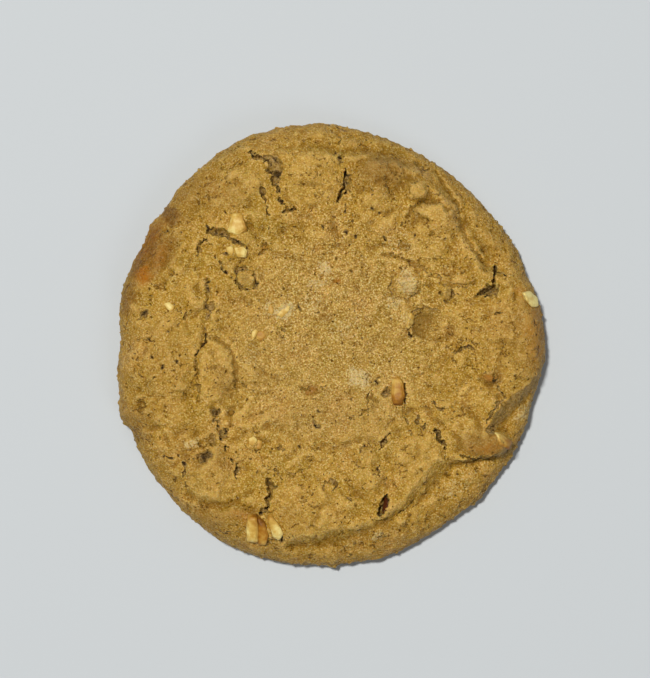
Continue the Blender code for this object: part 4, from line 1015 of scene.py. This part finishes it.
# ---- The peanut pieces ----
# Roasted peanuts, chopped into blocks with flat broken faces and baked half sunk in the dough. Most are
# pale inside; those that stuck out were toasted to orange brown.
# Each row: how far the piece stands out of the dough, then its corners x, y with how toasted each is.
PEANUTS = (
    (1, ((-20.6, 22.4, 0.2), (-18.4, 21.6, 0.2), (-16.5, 22.7, 0.45), (-17.6, 26, 0.4),
        (-19.6, 26.1, 0.2))),
    (0.8, ((-19.2, 19.2, 0.25), (-17.4, 19.5, 0.2), (-16.5, 18.7, 0.15), (-16.8, 17.3, 0.15),
        (-18.6, 17.2, 0.25))),
    (0.5, ((-20.8, 19.4, 0.2), (-19.5, 19.6, 0.2), (-19.2, 18.6, 0.25), (-19.5, 17.6, 0.3),
        (-20.5, 18.1, 0.25))),
    (1.4, ((37.4, 10.5, 0.05), (39.2, 10.8, 0), (40.9, 9.4, 0), (41, 7.8, 0), (39.6, 7.5, 0.05),
        (38.1, 8.8, 0.2))),
    (0.4, ((-33.1, 8.3, 0.15), (-31.9, 8.5, 0.1), (-30.8, 7.5, 0.35), (-31.6, 6.6, 0.2),
        (-32.4, 7.2, 0.2))),
    (0.3, ((-15.8, 2.6, 0.1), (-15, 3.3, 0.15), (-14.4, 2.7, 0.3), (-15.1, 1.6, 0.25),
        (-15.7, 0.9, 0.1))),
    (0.25, ((-14.5, 2.8, 0.5), (-13.3, 2.8, 0.55), (-12.9, 1.5, 0.5), (-14, 0.8, 0.5), (-15, 1.4, 0.45))),
    (0.2, ((-12.6, 7.9, 0.35), (-12, 8.4, 0.35), (-11.4, 7.4, 0.4), (-11.6, 6.1, 0.4),
        (-12.4, 6.3, 0.4))),
    (0.15, ((-10.8, 5.9, 0.25), (-9.6, 7.4, 0.25), (-8.2, 7.9, 0.25), (-8.4, 6.8, 0.25),
        (-9.8, 5.4, 0.25))),
    (1.1, ((11.9, -6.6, 0.3), (13.2, -5.9, 0.45), (14.2, -7.2, 0.5), (14.5, -10, 0.65),
        (13.9, -11.7, 0.85), (12.1, -11.9, 0.85), (11.7, -9, 0.4))),
    (0.3, ((15.6, 6.6, 0.3), (16.4, 6, 0.3), (16.2, 4.4, 0.25), (15.2, 3.2, 0.2), (14.6, 3.6, 0.25),
        (15, 5.2, 0.3))),
    (1.5, ((-16.5, -33.4, 0.4), (-14.6, -33.3, 0.85), (-14.3, -36, 0.5), (-14.5, -39.2, 0.3),
        (-16.7, -38.6, 0.2), (-16.9, -36, 0.1))),
    (1.1, ((-14.6, -33.6, 0.8), (-13.2, -34.6, 0.75), (-12.3, -37.6, 0.5), (-13, -39.4, 0.45),
        (-14.5, -39.3, 0.6))),
    (1.1, ((-12.9, -33.6, 0.5), (-11.9, -33.2, 0.45), (-10.3, -35.2, 0.25), (-9.4, -37.2, 0.05),
        (-10.4, -38.4, 0.05), (-11.6, -37.9, 0.25))),
    (0.3, ((-16.4, -18.3, 0.2), (-15.3, -17.9, 0.1), (-14.6, -18.8, 0.25), (-15.4, -19.9, 0.45),
        (-16.2, -19.6, 0.4))),
    (0.25, ((-14.6, -18.6, 0.3), (-13.7, -18.9, 0.35), (-13.9, -20.4, 0.6), (-15, -20.5, 0.6))),
    (1.5, ((32.1, -17.2, 0.1), (33.4, -17.2, 0.2), (35.8, -19.1, 0.55), (35, -20.6, 0.7),
        (32.9, -19.7, 0.5))),
    (0.1, ((10.6, -29.6, 1.3), (11.2, -30.8, 1.2), (11.1, -32.4, 1.3), (10.6, -34, 1.4), (10, -33.6, 1.4),
        (10.2, -31.4, 1.4))),
)
PEANUT_DEPTH = 1.8  # how far a piece reaches down into the dough
PEANUT_TOP_SHARE = 0.8  # a piece narrows to this share of its outline
PEANUT_TILT = 0.2
PEANUT_UNEVENNESS = 0.05
PEANUT_SLOPE_SHARE = 0.6  # how far a piece leans with the ground
PEANUT_RIM_HEIGHT, PEANUT_RIM_SLOPE_SHARE = 8.0, 0.35  # on the steep rim, below this height, it leans less
PEANUT_SEED = 4
PEANUT_EDGE = 0.12  # worn edges
PEANUT_FINENESS, PEANUT_SPLITS = 0.45, 2  # edges longer than this are split, twice
GROUND_RINGS = 0.3 * np.arange(1, 4)[:, None]  # shares of the outline at which the ground is measured
TOAST_BLEND = 0.05
PEANUT_BUMP_HEIGHT, PEANUT_BUMP_SPACING = 0.07, 0.9


def peanut_chip(random, proud, corners):
    """A block on its outline, narrowing to a smaller, tilted top face, with worn edges."""
    outline = np.array(corners)[:, :2]
    centre = outline.mean(0)
    lean = random.uniform(-1, 1, 2)
    build = bmesh.new()
    rings = []
    levels = ((1, -PEANUT_DEPTH, 0), (1, proud / 3, 0), (PEANUT_TOP_SHARE, proud, PEANUT_TILT))
    for share, height, tilt in levels:
        uneven = random.uniform(1 - PEANUT_UNEVENNESS, 1 + PEANUT_UNEVENNESS, (len(outline), 1))
        ring = centre + (outline - centre) * share * uneven
        tops = height + tilt * proud * (ring - centre) @ lean
        rings.append([build.verts.new((*xy, z)) for xy, z in zip(ring, tops)])
    build.faces.new(rings[0])
    build.faces.new(rings[-1])
    for lower, upper in zip(rings, rings[1:]):
        for k in range(len(outline)):
            build.faces.new((lower[k - 1], lower[k], upper[k], upper[k - 1]))
    bmesh.ops.recalc_face_normals(build, faces=build.faces[:])
    worn = {"offset": PEANUT_EDGE, "segments": 2, "affect": "EDGES", "clamp_overlap": True}
    bmesh.ops.bevel(build, geom=build.edges[:], **worn)
    bmesh.ops.triangulate(build, faces=build.faces[:])
    for _ in range(PEANUT_SPLITS):
        long_edges = [e for e in build.edges if e.calc_length() > PEANUT_FINENESS]
        bmesh.ops.subdivide_edges(build, edges=long_edges, cuts=1)
        bmesh.ops.triangulate(build, faces=build.faces[:])
    return build


random = np.random.default_rng(PEANUT_SEED)
peanuts = bmesh.new()
toasting = []
for proud, corners in PEANUTS:
    chip = peanut_chip(random, proud, corners)
    corner_x, corner_y, corner_toast = np.array(corners).T
    middle_x, middle_y = corner_x.mean(), corner_y.mean()
    x = (GROUND_RINGS * (corner_x - middle_x) + middle_x).ravel()
    y = (GROUND_RINGS * (corner_y - middle_y) + middle_y).ravel()
    ground, _ = surface(x, y)
    slope_x, slope_y, _ = np.linalg.lstsq(np.stack([x, y, 1 + 0 * x], 1), ground, rcond=None)[0]
    lean_share = PEANUT_RIM_SLOPE_SHARE if ground.mean() < PEANUT_RIM_HEIGHT else PEANUT_SLOPE_SHARE
    for v in chip.verts:
        weight = 1 / (TOAST_BLEND + (corner_x - v.co.x) ** 2 + (corner_y - v.co.y) ** 2)
        toasting.append((weight * corner_toast).sum() / weight.sum())
        rise = slope_x * (v.co.x - middle_x) + slope_y * (v.co.y - middle_y)
        v.co.z += ground.mean() + lean_share * rise
    loose = bpy.data.meshes.new("loose")
    chip.to_mesh(loose)
    chip.free()
    peanuts.from_mesh(loose)
    bpy.data.meshes.remove(loose)
peanut_mesh = bpy.data.meshes.new("peanut_pieces")
peanuts.to_mesh(peanut_mesh)
peanuts.free()
peanut_points = np.array([v.co for v in peanut_mesh.vertices])
uneven = PEANUT_BUMP_HEIGHT * each_noise(peanut_points, PEANUT_BUMP_SPACING, octaves=2, seed=2.0)
move_points(peanut_mesh, peanut_points + vertex_normals(peanut_mesh) * uneven[:, None])
set_attribute(peanut_mesh, "toasted", np.array(toasting))
peanut_mesh.shade_smooth()


def roasted_peanut():
    """Roasted peanut: waxy and pale yellow inside, going through tan to orange brown where it toasted."""
    material, tree = new_material("roasted_peanut")
    place = add_node(tree, "ShaderNodeTexCoord").outputs["Object"]
    toast = add_node(tree, "ShaderNodeAttribute", attribute_name="toasted").outputs["Fac"]
    inputs = {"Vector": place, "Scale": per_mm(1.1), "Detail": 3.0}
    blotches = add_node(tree, "ShaderNodeTexNoise", inputs).outputs["Fac"]
    inputs = {"Value": blotches, "From Min": 0.3, "From Max": 0.7, "To Min": -0.15, "To Max": 0.15}
    shift = add_node(tree, "ShaderNodeMapRange", inputs).outputs["Result"]
    inputs = {0: toast, 1: shift}
    toast = add_node(tree, "ShaderNodeMath", inputs, operation="ADD", use_clamp=True).outputs[0]
    ramp = add_node(tree, "ShaderNodeValToRGB", {"Fac": toast})
    stops = ramp.color_ramp.elements
    stops[0].color = srgb("EEDC8E")
    stops[1].position = 1.0
    stops[1].color = srgb("4C2206")
    for position, code in ((0.3, "CCA44C"), (0.6, "A26C18")):
        stop = stops.new(position)
        stop.color = srgb(code)
    inputs = {"Vector": place, "Scale": per_mm(0.35), "Detail": 2.0}
    pits = add_node(tree, "ShaderNodeTexNoise", inputs).outputs["Fac"]
    inputs = {"Height": pits, "Strength": 0.6, "Distance": 0.1 * METRES}
    bump = add_node(tree, "ShaderNodeBump", inputs)
    inputs = {
        "Base Color": ramp.outputs["Color"],
        "Roughness": 0.5,
        "IOR": 1.47,
        "Specular IOR Level": 0.35,
        "Normal": bump.outputs["Normal"],
    }
    shader = add_node(tree, "ShaderNodeBsdfPrincipled", inputs)
    add_node(tree, "ShaderNodeOutputMaterial", {"Surface": shader.outputs["BSDF"]})
    return material


peanut_mesh.materials.append(roasted_peanut())
peanut_pieces = new_object("peanut_pieces", peanut_mesh)
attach(peanut_pieces, "root")

# ---- The table top, the light and the camera ----
# A plain pale table under soft light from above and a little to the back left. The camera looks straight
# down, as the photo does.
FLOOR_HALF_SIZE = 1.5
floor_mesh = bpy.data.meshes.new("table_top")
corners = [(FLOOR_HALF_SIZE * a, FLOOR_HALF_SIZE * b, 0) for a, b in ((-1, -1), (1, -1), (1, 1), (-1, 1))]
floor_mesh.from_pydata(corners, [], [(0, 1, 2, 3)])
floor = new_object("table_top", floor_mesh)
floor_material, tree = new_material("painted_table")
shader = add_node(tree, "ShaderNodeBsdfPrincipled", {"Base Color": srgb("BFC4C8"), "Roughness": 0.7})
add_node(tree, "ShaderNodeOutputMaterial", {"Surface": shader.outputs["BSDF"]})
floor_mesh.materials.append(floor_material)


def soft_light(name, place, size, power, colour):
    data = bpy.data.lights.new(name, "AREA")
    data.shape = "DISK"
    data.size = size
    data.energy = power
    data.color = srgb(colour)[:3]
    light = new_object(name, data)
    light.location = place
    light.rotation_euler = (-Vector(place)).to_track_quat("-Z", "Y").to_euler()


soft_light("key", place=(-0.4, 0.43, 2.05), size=0.23, power=43.5, colour="FFFDF8")
soft_light("fill", place=(0.5, -0.7, 0.9), size=0.6, power=1.6, colour="FFFFFF")
world = bpy.data.worlds.new("room")
world.use_nodes = True
world.node_tree.nodes["Background"].inputs["Color"].default_value = srgb("EEF2F8")
world.node_tree.nodes["Background"].inputs["Strength"].default_value = 0.17
bpy.context.scene.world = world

IMAGE_WIDTH, IMAGE_HEIGHT = 650, 678
PIXELS_PER_MM = 5.0
COOKIE_PIXEL = (331.5, 345.3)  # where the cookie's middle shows
CAMERA_HEIGHT = 0.55
view_height = IMAGE_HEIGHT / PIXELS_PER_MM * METRES
camera_data = bpy.data.cameras.new("camera")
camera_data.sensor_width = 36
camera_data.lens = camera_data.sensor_width * (CAMERA_HEIGHT - BELT_HEIGHT * METRES) / view_height
camera = new_object("camera", camera_data)
camera.location = (
    (IMAGE_WIDTH / 2 - COOKIE_PIXEL[0]) / PIXELS_PER_MM * METRES,
    (COOKIE_PIXEL[1] - IMAGE_HEIGHT / 2) / PIXELS_PER_MM * METRES,
    CAMERA_HEIGHT,
)
bpy.context.scene.camera = camera
bpy.context.scene.view_settings.view_transform = "Standard"
